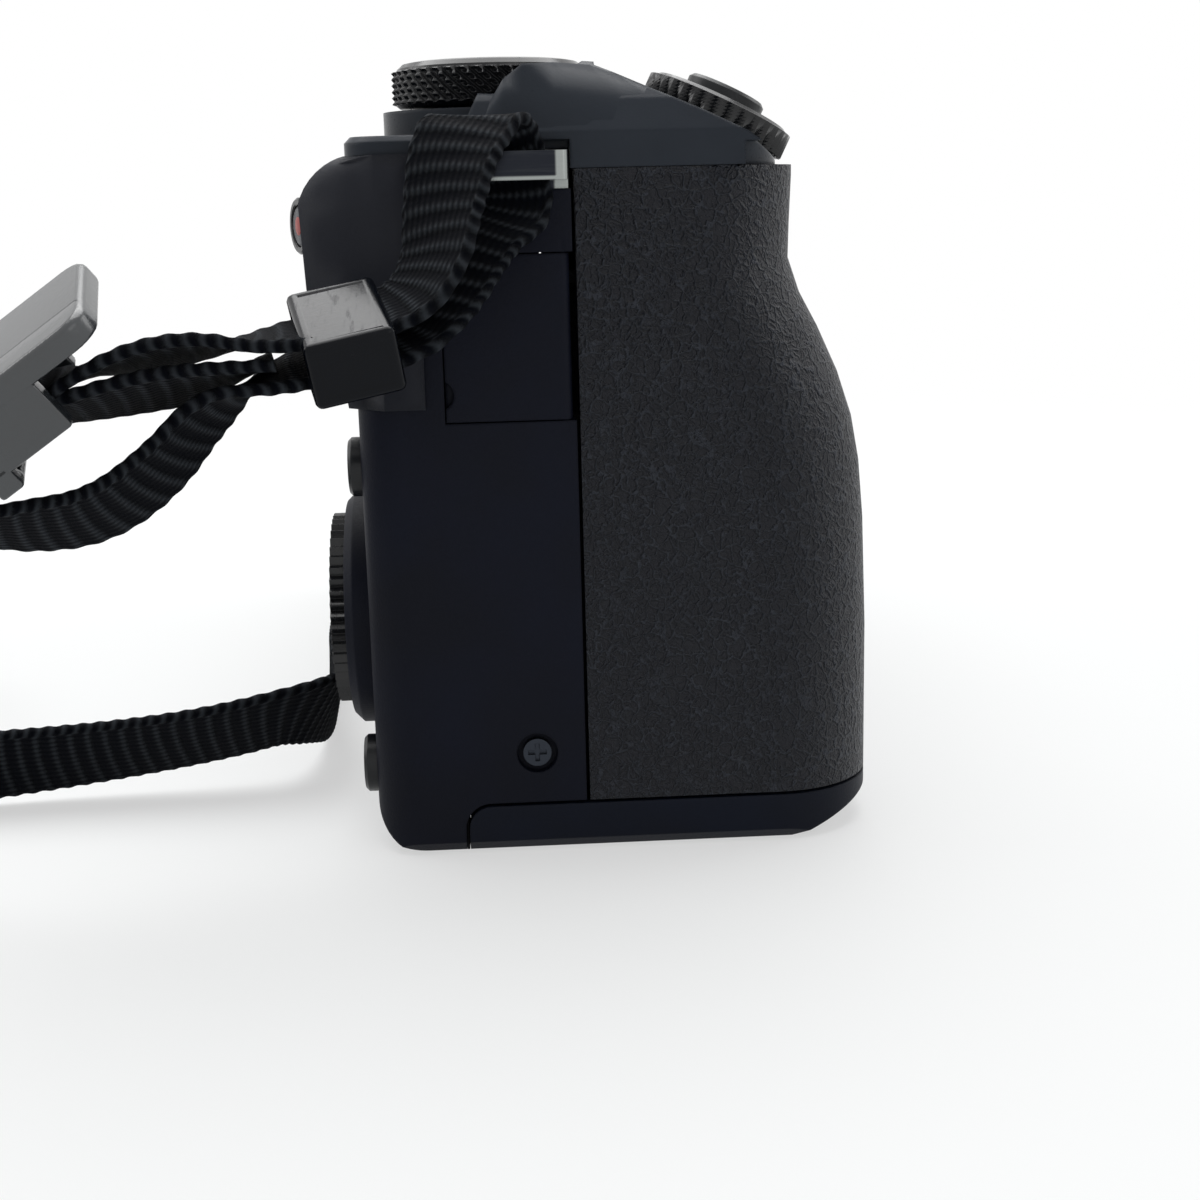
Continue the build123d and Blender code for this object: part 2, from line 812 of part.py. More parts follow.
# Chassis: metal plate behind the front wall with the tube that carries the lens mount
chassis_front_y = front_y + case_wall
chassis_back_y = chassis_front_y + chassis_thick
pin_place = (
    lock_pin_circle * cos(radians(lock_pin_angle)),
    lens_z + lock_pin_circle * sin(radians(lock_pin_angle)),
)
holder_half_width = 24.0
holder_front_y = chassis_back_y + shutter_thick + 0.3
screw_angles = (45.0, 135.0, 225.0, 315.0)
mount_screw_places = [
    (mount_screw_circle * cos(radians(turn)), lens_z + mount_screw_circle * sin(radians(turn)))
    for turn in screw_angles
]
mount_screw_shank = 0.5
with BuildPart() as chassis:
    block(
        (-33.0, far_side_x - far_corner - 0.2),
        (chassis_front_y, chassis_back_y),
        (base_height + 1.2, case_height - 1.6),
    )
    drum(
        back_plane(chassis_front_y + 0.5),
        lens_centre,
        mount_tube_radius,
        chassis_front_y + 0.5 - tower_front_y,
    )
    drum(back_plane(chassis_front_y), lens_centre, bayonet_radius, 20, Mode.SUBTRACT)
    block(
        (-16.0, 16.0),
        (chassis_front_y - 1, chassis_back_y + 1),
        (lens_z - 11.5, lens_z + 11.5),
        Mode.SUBTRACT,
    )
    drum(back_plane(chassis_back_y + 1), release_centre, release_radius + 1.0, 4, Mode.SUBTRACT)
    drum(back_plane(chassis_back_y + 1), pin_place, lock_pin_radius + running_gap, 20, Mode.SUBTRACT)
    for place in mount_screw_places:
        drum(back_plane(tower_front_y + 3.2), place, mount_screw_shank + running_gap, 5, Mode.SUBTRACT)
    for left in (-holder_half_width, shutter_half_width + 0.6):
        block(
            (left, left + holder_half_width - shutter_half_width - 0.6),
            (chassis_back_y - 0.2, holder_front_y),
            (lens_z - 11, lens_z + 11),
        )
chassis.part.label = "chassis"
export_step(chassis.part, "parts/chassis.step")

# Lens mount ring with three bayonet gaps in its inner edge
with BuildPart() as lens_mount_ring:
    drum(back_plane(tower_front_y), lens_centre, ring_radius, tower_front_y - flange_y)
    chamfer(lens_mount_ring.faces().sort_by(Axis.Y)[0].edges(), 0.3)
    drum(back_plane(tower_front_y + 1), lens_centre, throat_radius, 5, Mode.SUBTRACT)
    with BuildSketch(back_plane(tower_front_y)) as gaps:
        with Locations(lens_centre):
            with PolarLocations(throat_radius, 3, start_angle=90):
                Rectangle(4, 2 * throat_radius * sin(radians(bayonet_gap_angle / 2)))
        with Locations(lens_centre):
            Circle(bayonet_radius, mode=Mode.INTERSECT)
    extrude(amount=5, mode=Mode.SUBTRACT)
    drum(back_plane(tower_front_y + 1), pin_place, lock_pin_radius + running_gap, 5, Mode.SUBTRACT)
    for place in mount_screw_places:
        drum(back_plane(tower_front_y + 1), place, mount_screw_shank + running_gap, 5, Mode.SUBTRACT)
        drum(back_plane(flange_y + 0.6), place, 1.0, 2, Mode.SUBTRACT)
lens_mount_ring.part.label = "lens_mount_ring"
export_step(lens_mount_ring.part, "parts/lens_mount_ring.step")

# Four screws that hold the lens mount ring
with BuildPart() as mount_screws:
    for place in mount_screw_places:
        drum(back_plane(flange_y + 0.6), place, 0.95, 0.5)
        drum(back_plane(flange_y + 0.6 + 3.6), place, mount_screw_shank, 3.6)
        cross_recess(back_plane(flange_y + 0.35), place, 1.1, 1)
mount_screws.part.label = "mount_screws"
export_step(mount_screws.part, "parts/mount_screws.step")

# Contact block low in the throat, with its row of pins
contact_front_y = flange_y + 2.6
contact_inner_radius = bayonet_radius - 5.1
contact_pin_circle = bayonet_radius - 2.9
contact_half_angle = 22.0
with BuildPart() as mount_contact_block:
    with BuildSketch(back_plane(contact_front_y + 2.4)) as contact_face:
        with Locations(lens_centre):
            Circle(bayonet_radius)
            Circle(contact_inner_radius, mode=Mode.SUBTRACT)
        with Locations((0, lens_z - contact_inner_radius - 2)):
            Rectangle(2 * bayonet_radius * sin(radians(contact_half_angle)), 12, mode=Mode.INTERSECT)
    extrude(amount=2.4)
    for pin in range(10):
        turn = radians(-90 + (pin - 4.5) * 3.6)
        pin_centre = (contact_pin_circle * cos(turn), lens_z + contact_pin_circle * sin(turn))
        drum(back_plane(contact_front_y), pin_centre, 0.45, 0.4)
mount_contact_block.part.label = "mount_contact_block"
export_step(mount_contact_block.part, "parts/mount_contact_block.step")

# Baffle that masks the light path
with BuildPart() as light_baffle:
    drum(back_plane(baffle_front_y + 1.2), lens_centre, bayonet_radius, 1.2)
    block(
        (-14.5, 14.5),
        (baffle_front_y - 1, baffle_front_y + 3),
        (lens_z - 10.5, lens_z + 10.5),
        Mode.SUBTRACT,
    )
    aperture_edges = light_baffle.faces().sort_by(Axis.Y)[0].inner_wires().edges()
    chamfer(aperture_edges, 0.6)
light_baffle.part.label = "light_baffle"
export_step(light_baffle.part, "parts/light_baffle.step")

# Shutter plate: flat box with a slot for the two curtains
shutter_front_y = chassis_back_y
shutter_back_y = shutter_front_y + shutter_thick
slot_front_y = shutter_front_y + 1.2
slot_back_y = shutter_back_y - 1.2
shutter_low = lens_z - frame_height / 2 - curtain_height - 0.8
shutter_high = lens_z + frame_height / 2 + curtain_height + 0.8
with BuildPart() as shutter_plate:
    block(
        (-shutter_half_width, shutter_half_width),
        (shutter_front_y, shutter_back_y),
        (shutter_low - 0.8, shutter_high + 0.8),
    )
    block((-15.5, 15.5), (slot_front_y, slot_back_y), (shutter_low, shutter_high), Mode.SUBTRACT)
    block(
        (-frame_width / 2, frame_width / 2),
        (shutter_front_y - 1, shutter_back_y + 1),
        (lens_z - frame_height / 2, lens_z + frame_height / 2),
        Mode.SUBTRACT,
    )
shutter_plate.part.label = "shutter_plate"
export_step(shutter_plate.part, "parts/shutter_plate.step")

# Curtains, parked below and above the frame
curtain_rest = frame_height / 2 + 0.3
with BuildPart() as front_curtain:
    block(
        (-15.2, 15.2),
        (slot_front_y + 0.15, slot_front_y + 0.15 + curtain_thick),
        (lens_z - curtain_rest - curtain_height, lens_z - curtain_rest),
    )
front_curtain.part.label = "front_curtain"
export_step(front_curtain.part, "parts/front_curtain.step")

with BuildPart() as rear_curtain:
    block(
        (-15.2, 15.2),
        (slot_back_y - 0.15 - curtain_thick, slot_back_y - 0.15),
        (lens_z + curtain_rest, lens_z + curtain_rest + curtain_height),
    )
rear_curtain.part.label = "rear_curtain"
export_step(rear_curtain.part, "parts/rear_curtain.step")

# Sensor, its filter glass and the holder between them
sensor_front_y = flange_y + flange_to_sensor
glass_front_y = holder_front_y + 0.2
glass_depth = 1.0
with BuildPart() as sensor_holder:
    block(
        (-holder_half_width, holder_half_width),
        (holder_front_y, sensor_front_y + 1.6),
        (lens_z - 16, lens_z + 16),
    )
    block(
        (-sensor_width / 2 - 0.1, sensor_width / 2 + 0.1),
        (holder_front_y - 1, glass_front_y + glass_depth),
        (lens_z - sensor_height / 2 - 0.1, lens_z + sensor_height / 2 + 0.1),
        Mode.SUBTRACT,
    )
    block(
        (-13.2, 13.2),
        (holder_front_y, sensor_front_y + 1),
        (lens_z - 9.2, lens_z + 9.2),
        Mode.SUBTRACT,
    )
    block(
        (-sensor_width / 2 - 0.1, sensor_width / 2 + 0.1),
        (sensor_front_y, sensor_front_y + 5),
        (lens_z - sensor_height / 2 - 0.1, lens_z + sensor_height / 2 + 0.1),
        Mode.SUBTRACT,
    )
sensor_holder.part.label = "sensor_holder"
export_step(sensor_holder.part, "parts/sensor_holder.step")

with BuildPart() as sensor_filter_glass:
    block(
        (-sensor_width / 2, sensor_width / 2),
        (glass_front_y, glass_front_y + glass_depth),
        (lens_z - sensor_height / 2, lens_z + sensor_height / 2),
    )
sensor_filter_glass.part.label = "sensor_filter_glass"
export_step(sensor_filter_glass.part, "parts/sensor_filter_glass.step")

with BuildPart() as image_sensor:
    block(
        (-sensor_width / 2, sensor_width / 2),
        (sensor_front_y, sensor_front_y + 1.6),
        (lens_z - sensor_height / 2, lens_z + sensor_height / 2),
    )
    block((-20, 20), (sensor_front_y + 1.6, sensor_front_y + 2.6), (lens_z - 14, lens_z + 14))
image_sensor.part.label = "image_sensor"
export_step(image_sensor.part, "parts/image_sensor.step")

# Main circuit board on the posts of the rear cover, with its larger components
with BuildPart() as main_circuit_board:
    block(board_x, board_y, board_z)
    block((-12, 10), (board_y[0] - 1.4, board_y[0]), (22, 40))
    block((16, 28), (board_y[0] - 1.2, board_y[0]), (30, 42))
    block((-28, -16), (board_y[1], board_y[1] + 1.6), (26, 36))
    block((-8, 14), (board_y[1], board_y[1] + 2.4), (14, 20))
    block((18, 26), (board_y[1], board_y[1] + 1.4), (36, 46))
main_circuit_board.part.label = "main_circuit_board"
export_step(main_circuit_board.part, "parts/main_circuit_board.step")

# Battery box with the card slot beside it
battery_x = (battery_right_x - battery_size[0], battery_right_x)
battery_y = (battery_front_y, battery_front_y + battery_size[1])
battery_z = (bay_bottom + 0.4, bay_bottom + 0.4 + battery_size[2])
card_x = (card_left_x, card_left_x + card_size[0])
card_y = (card_front_y, card_front_y + card_size[1])
card_z = (bay_bottom + 0.4, bay_bottom + 0.4 + card_size[2])


def grown(limits, amount):
    """Limits moved apart by an amount."""
    return (limits[0] - amount, limits[1] + amount)


with BuildPart() as battery_box:
    block(
        grown(battery_x, bay_gap + bay_wall),
        grown(battery_y, bay_gap + bay_wall),
        (bay_bottom, battery_z[1] + bay_gap + bay_wall),
    )
    block(
        grown(card_x, bay_gap + bay_wall),
        grown(card_y, bay_gap + bay_wall / 2),
        (bay_bottom, card_z[1] + bay_gap + bay_wall),
    )
    block(
        grown(battery_x, bay_gap),
        grown(battery_y, bay_gap),
        (bay_bottom - 1, battery_z[1] + bay_gap),
        Mode.SUBTRACT,
    )
    block(
        grown(card_x, bay_gap),
        grown(card_y, bay_gap),
        (bay_bottom - 1, card_z[1] + bay_gap),
        Mode.SUBTRACT,
    )
battery_box.part.label = "battery_box"
export_step(battery_box.part, "parts/battery_box.step")

with BuildPart() as battery:
    block(battery_x, battery_y, battery_z)
    fillet(battery.edges().filter_by(Axis.Z), 1.2)
    for contact in range(3):
        contact_y = battery_front_y + 5 + 3.0 * contact
        block(
            (battery_x[0] + 4, battery_x[0] + 9),
            (contact_y, contact_y + 1.6),
            (battery_z[1] - 0.6, battery_z[1] + 1),
            Mode.SUBTRACT,
        )
battery.part.label = "battery"
export_step(battery.part, "parts/battery.step")

with BuildPart() as memory_card:
    block(card_x, card_y, card_z)
    upper_front = memory_card.edges().filter_by(Axis.X).group_by(Axis.Z)[-1].sort_by(Axis.Y)[0]
    chamfer(upper_front, 3.6)
memory_card.part.label = "memory_card"
export_step(memory_card.part, "parts/memory_card.step")

# Storage capacitor of the flash, standing beside the board
capacitor_radius = 3.6
capacitor_centre = (far_side_x - case_wall - capacitor_radius - 0.3, 1.5)
with BuildPart() as flash_capacitor:
    drum(Plane.XY.offset(base_height + 6), capacitor_centre, capacitor_radius, 30)
    fillet(flash_capacitor.edges().filter_by(GeomType.CIRCLE), 0.6)
flash_capacitor.part.label = "flash_capacitor"
export_step(flash_capacitor.part, "parts/flash_capacitor.step")

# Port block behind the terminal cover
port_front_x = grip_side_x + terminal_thick + 0.35
port_low = terminal_bottom + 1.0
with BuildPart() as port_block:
    port_back_x = battery_x[0] - bay_gap - bay_wall - 0.1
    block((port_front_x, port_back_x), (2.6, 11.4), (port_low, port_low + 12.0))
    for socket_y, socket_rise, tongue_y, tongue_rise in (
        ((3.8, 10.2), (7.0, 9.9), (4.8, 9.2), (8.1, 8.7)),
        ((3.4, 10.6), (2.0, 4.5), (4.6, 9.4), (3.0, 3.6)),
    ):
        socket_z = (port_low + socket_rise[0], port_low + socket_rise[1])
        tongue_z = (port_low + tongue_rise[0], port_low + tongue_rise[1])
        block((port_front_x - 1, port_front_x + 3.2), socket_y, socket_z, Mode.SUBTRACT)
        block((port_front_x + 0.4, port_front_x + 3.2), tongue_y, tongue_z)
port_block.part.label = "port_block"
export_step(port_block.part, "parts/port_block.step")

# Terminal cover with its hinge barrel at the seam and a finger notch at the back
with BuildPart() as terminal_cover:
    block(
        (grip_side_x, grip_side_x + terminal_thick),
        (terminal_axis[1], terminal_back_y),
        terminal_ends,
    )
    cover_height = terminal_ends[1] - terminal_ends[0]
    drum(Plane.XY.offset(terminal_ends[0]), terminal_axis, terminal_thick / 2, cover_height)
    drum(
        Plane.XY.offset(terminal_bottom - terminal_pin_length + 0.1),
        terminal_axis,
        terminal_pin_radius,
        terminal_top - terminal_bottom + 2 * terminal_pin_length - 0.2,
    )
    drum(
        side_plane(grip_side_x - 1),
        (terminal_back_y + 0.6, terminal_bottom + 2.4),
        1.3,
        1.6,
        Mode.SUBTRACT,
    )
terminal_cover.part.label = "terminal_cover"
export_step(terminal_cover.part, "parts/terminal_cover.step")

# Strap lugs: a flat metal bail on a plate behind each side wall
for side_name, wall_x, outward in (
    ("strap_lug_grip", grip_side_x, -1),
    ("strap_lug_far", far_side_x, 1),
):
    inner_x = wall_x - outward * case_wall
    bar_outer_x = wall_x + outward * (lug_clear + lug_bar)
    with BuildPart() as strap_lug:
        block(
            sorted((inner_x, inner_x - outward * 0.8)),
            (seam_y + 0.3, lug_back_y + 0.8),
            (lug_window_low - 0.8, top_ceiling - 0.1),
        )
        block(sorted((inner_x, bar_outer_x)), (lug_front_y, lug_back_y), (lug_low, lug_high))
        block(
            sorted((inner_x, bar_outer_x - outward * lug_bar)),
            (lug_front_y + lug_bar, lug_back_y - lug_bar),
            (lug_low - 1, lug_high + 1),
            Mode.SUBTRACT,
        )
        bail_face = strap_lug.faces().sort_by(Axis.X, reverse=outward > 0)[0]
        fillet(bail_face.edges().filter_by(Axis.Z), 0.5)
    strap_lug.part.label = side_name
    export_step(strap_lug.part, f"parts/{side_name}.step")

# Case screws: one in each side and four in the base
far_screw_plane = Plane(origin=(far_side_x, 0, 0), x_dir=(0, 1, 0), z_dir=(-1, 0, 0))
with BuildPart() as case_screws:
    case_screw(side_plane(grip_side_x), (side_screw_y, side_screw_z))
    case_screw(far_screw_plane, (side_screw_y, -side_screw_z))
    for place in base_screw_places:
        case_screw(Plane.XY, place)
case_screws.part.label = "case_screws"
export_step(case_screws.part, "parts/case_screws.step")

# Thumb rest: rubber pad that wraps the rear corner of the grip side
pad_skin_y = back_y + thumb_pad_proud
with BuildPart() as thumb_rest_pad:
    for height, bulge in thumb_pad_bulge:
        with BuildSketch(Plane.XY.offset(height)):
            with BuildLine():
                Polyline(
                    (grip_side_x - thumb_pad_proud, thumb_pad_front_y),
                    (grip_side_x - thumb_pad_proud, back_y - 2.5),
                    (grip_side_x + 2.6, back_y + bulge),
                    (movie_x + 9, back_y + bulge),
                    (thumb_pad_right_x, back_y + 0.4),
                    (thumb_pad_right_x, back_y - 2),
                    (grip_side_x + 2, thumb_pad_front_y),
                    close=True,
                )
            make_face()
    loft(ruled=True)
    with BuildSketch() as pad_inside:
        add(body_plan(0))
    extrude(amount=above, mode=Mode.SUBTRACT)
    drum(movie_plane, (0, 0), movie_radius + slide_gap, -3.2, Mode.SUBTRACT)
    drum(movie_plane, (0, 0), movie_stem_radius + slide_gap, -9, Mode.SUBTRACT)
thumb_rest_pad.part.label = "thumb_rest_pad"
export_step(thumb_rest_pad.part, "parts/thumb_rest_pad.step")

# Movie button, with its face turned towards the corner
with BuildPart() as movie_button:
    drum(movie_plane, (0, 0), movie_radius, -movie_thick)
    chamfer(movie_button.edges().filter_by(GeomType.CIRCLE), 0.25)
    drum(movie_plane, (0, 0), movie_stem_radius, -7.2)
movie_button.part.label = "movie_button"
export_step(movie_button.part, "parts/movie_button.step")

# Buttons of the back, each with a flange inside the wall
flange_back_y = back_y - case_wall - seat_gap
for button_name, place in back_buttons.items():
    with BuildPart() as back_button:
        drum(back_plane(button_back_y), place, button_radius, button_back_y - flange_back_y)
        chamfer(back_button.faces().sort_by(Axis.Y)[-1].edges(), 0.3)
        drum(back_plane(flange_back_y), place, button_radius + 0.5, 0.8)
    back_button.part.label = button_name
    export_step(back_button.part, f"parts/{button_name}.step")

# Gimbal ring: tilts about X on two pins in the wall of the well
gimbal_back_y = gimbal_front_y + gimbal_thick
with BuildPart() as gimbal_ring:
    drum(back_plane(gimbal_back_y), well_centre, gimbal_outer, gimbal_thick)
    for way in (-1, 1):
        pin_start = wheel_x + way * (gimbal_outer - 0.3)
        pin_end = wheel_x + way * (gimbal_hole_reach - 0.1)
        drum(
            side_plane(min(pin_start, pin_end)),
            (gimbal_axis_y, wheel_z),
            gimbal_pin_radius,
            abs(pin_end - pin_start),
        )
    drum(back_plane(gimbal_back_y + 1), well_centre, gimbal_inner, 4, Mode.SUBTRACT)
    drum(
        Plane.XY.offset(wheel_z - gimbal_outer + 0.3),
        (wheel_x, gimbal_axis_y),
        gimbal_pin_radius + running_gap,
        2 * gimbal_outer - 0.6,
        Mode.SUBTRACT,
    )
gimbal_ring.part.label = "gimbal_ring"
export_step(gimbal_ring.part, "parts/gimbal_ring.step")

# Rocker plate: tilts about Z in the gimbal ring and carries the wheel on its spigot
spigot_outer = wheel_bore - running_gap
spigot_bore = set_button_radius + slide_gap
spigot_back_y = wheel_back_y - 1.0
with BuildPart() as rocker_plate:
    drum(back_plane(gimbal_back_y), well_centre, rocker_radius, gimbal_thick)
    drum(back_plane(spigot_back_y), well_centre, spigot_outer, spigot_back_y - gimbal_back_y + 0.2)
    drum(
        back_plane(spigot_back_y + 1),
        well_centre,
        spigot_bore,
        spigot_back_y + 1 - gimbal_back_y,
        Mode.SUBTRACT,
    )
    drum(
        Plane.XY.offset(wheel_z - gimbal_outer + 0.5),
        (wheel_x, gimbal_axis_y),
        gimbal_pin_radius,
        2 * gimbal_outer - 1.0,
    )
rocker_plate.part.label = "rocker_plate"
export_step(rocker_plate.part, "parts/rocker_plate.step")

# Rear wheel with its serrated rim
with BuildPart() as rear_wheel:
    toothed_ring(
        back_plane(wheel_back_y),
        well_centre,
        wheel_radius,
        wheel_tooth_depth,
        wheel_teeth,
        wheel_back_y - wheel_front_y,
    )
    drum(
        back_plane(wheel_back_y + 1),
        well_centre,
        wheel_bore,
        wheel_back_y - wheel_front_y + 2,
        Mode.SUBTRACT,
    )
    wheel_top = rear_wheel.faces().sort_by(Axis.Y)[-1]
    chamfer(wheel_top.inner_wires().edges(), 0.5)
rear_wheel.part.label = "rear_wheel"
export_step(rear_wheel.part, "parts/rear_wheel.step")

# Set button in the middle of the wheel
with BuildPart() as set_button:
    drum(
        back_plane(set_button_back_y),
        well_centre,
        set_button_radius,
        set_button_back_y - gimbal_back_y - 1.0,
    )
    chamfer(set_button.faces().sort_by(Axis.Y)[-1].edges(), 0.3)
set_button.part.label = "set_button"
export_step(set_button.part, "parts/set_button.step")

# Tilt plate: metal plate hinged at the bottom of the pocket, with ears for the screen at its top
pin_overlap = 0.9
knuckle_margin = 1.8
ear_thick = 1.0
with BuildPart() as lcd_tilt_plate:
    block((screen_left + 3, screen_right - 3), tilt_plate_y, (tilt_axis_z + 2, flip_axis_z - 1.5))
    drum(
        side_plane(pocket_left + knuckle_margin),
        (tilt_axis_y, tilt_axis_z),
        knuckle_radius,
        pocket_right - pocket_left - 2 * knuckle_margin,
    )
    drum(
        side_plane(pocket_left - pin_overlap),
        (tilt_axis_y, tilt_axis_z),
        hinge_pin_radius,
        pocket_right - pocket_left + 2 * pin_overlap,
    )
    block(
        (screen_left + 3, screen_right - 3),
        (tilt_plate_y[0], tilt_axis_y),
        (tilt_axis_z - 0.9, tilt_axis_z + 0.6),
    )
    block((screen_left + 3, screen_right - 3), tilt_plate_y, (tilt_axis_z - 0.9, tilt_axis_z + 2.2))
    block(
        (screen_left - 0.2 - ear_thick, screen_right + 0.2 + ear_thick),
        tilt_plate_y,
        (flip_axis_z - 8, flip_axis_z - 1.5),
    )
    for ear_x in (screen_left - 0.2 - ear_thick, screen_right + 0.2):
        block(
            (ear_x, ear_x + ear_thick),
            (tilt_plate_y[0], flip_axis_y + 1.5),
            (flip_axis_z - 3.5, flip_axis_z + 1.5),
        )
    drum(
        side_plane(screen_left - 5),
        (flip_axis_y, flip_axis_z),
        hinge_pin_radius + running_gap,
        screen_right - screen_left + 10,
        Mode.SUBTRACT,
    )
lcd_tilt_plate.part.label = "lcd_tilt_plate"
export_step(lcd_tilt_plate.part, "parts/lcd_tilt_plate.step")

# Screen housing with its top knuckles and pins
glass_margin = 1.6
with BuildPart() as lcd_frame:
    block((screen_left, screen_right), (screen_front_y, screen_back_y), (screen_bottom, screen_top))
    fillet(lcd_frame.edges().filter_by(Axis.Y), 1.5)
    for knuckle_x in (screen_left, screen_right - 14):
        drum(side_plane(knuckle_x), (flip_axis_y, flip_axis_z), knuckle_radius, 14)
    drum(
        side_plane(screen_left - 0.2 - ear_thick),
        (flip_axis_y, flip_axis_z),
        hinge_pin_radius,
        screen_right - screen_left + 2 * (0.2 + ear_thick),
    )
    block(
        (screen_left + 14, screen_right - 14),
        (screen_front_y - 1, screen_back_y + 1),
        (screen_top, screen_top + 5),
        Mode.SUBTRACT,
    )
    block(
        (screen_left + glass_margin, screen_right - glass_margin),
        (screen_back_y - glass_thick - 0.1, screen_back_y + 1),
        (screen_bottom + glass_margin, screen_top - 2 * glass_margin),
        Mode.SUBTRACT,
    )
lcd_frame.part.label = "lcd_frame"
export_step(lcd_frame.part, "parts/lcd_frame.step")

with BuildPart() as lcd_glass:
    block(
        (screen_left + glass_margin + 0.1, screen_right - glass_margin - 0.1),
        (screen_back_y - glass_thick - 0.1, screen_back_y - 0.1),
        (screen_bottom + glass_margin + 0.1, screen_top - 2 * glass_margin - 0.1),
    )
lcd_glass.part.label = "lcd_glass"
export_step(lcd_glass.part, "parts/lcd_glass.step")

# Top cover: rim, wedge island over the grip and the deck of shoe, mode dial and flash
exposure_centre = (exposure_x, exposure_y)
mode_centre = (mode_x, mode_y)
main_dial_plane = Plane(
    origin=(main_dial_x, main_dial_y, main_dial_z),
    x_dir=(1, 0, 0),
    z_dir=(0, -sin(radians(main_dial_lean)), cos(radians(main_dial_lean))),
)
shutter_bore = shutter_button_radius + slide_gap
spigot_floor = 3.9
shutter_stem = 1.4
flash_tub_wall = 0.8

with BuildPart() as island:
    with BuildSketch(Plane.YZ.offset(grip_side_x)):
        with BuildLine():
            Polyline(
                (9.6, tier_top - 1),
                (9.4, tier_top + 1),
                (7.6, island_top - 1.6),
                (5.4, island_top - 0.3),
                (3.0, island_top),
                (-1.5, island_top - 0.4),
                (-5.0, island_top - 1.8),
                (-9.0, island_top - 4.0),
                (-12.5, island_top - 5.6),
                (-15.0, tier_top),
                (-15.0, tier_top - 1),
                close=True,
            )
        make_face()
    extrude(amount=deck_left_x - grip_side_x)
    with BuildSketch(Plane.XZ.offset(-20)):
        with BuildLine():
            Polyline(
                (grip_side_x, tier_top - 1),
                (grip_side_x, tier_top),
                (grip_side_x + 1.6, tier_top + 2.6),
                (grip_side_x + 3.8, island_top - 1.4),
                (grip_side_x + 6.6, island_top),
                (island_right_x, island_top),
                (deck_left_x, deck_top),
                (deck_left_x, tier_top - 1),
                close=True,
            )
        make_face()
    extrude(amount=50, mode=Mode.INTERSECT)

with BuildPart() as deck:
    with BuildSketch(Plane.YZ.offset(island_right_x)):
        with BuildLine():
            Polyline(
                (deck_back_y, tier_top - 1),
                (deck_back_y, deck_top),
                (front_y + 3.0, deck_top),
                (front_y + 0.8, deck_top - 1.2),
                (front_y, tier_top),
                (front_y, tier_top - 1),
                close=True,
            )
        make_face()
    extrude(amount=deck_far_x - island_right_x)
    with BuildSketch(Plane.XZ.offset(-20)):
        with BuildLine():
            Polyline(
                (island_right_x, tier_top - 1),
                (island_right_x, deck_top),
                (deck_far_x - 2, deck_top),
                (deck_far_x, tier_top),
                (deck_far_x, tier_top - 1),
                close=True,
            )
        make_face()
    extrude(amount=50, mode=Mode.INTERSECT)

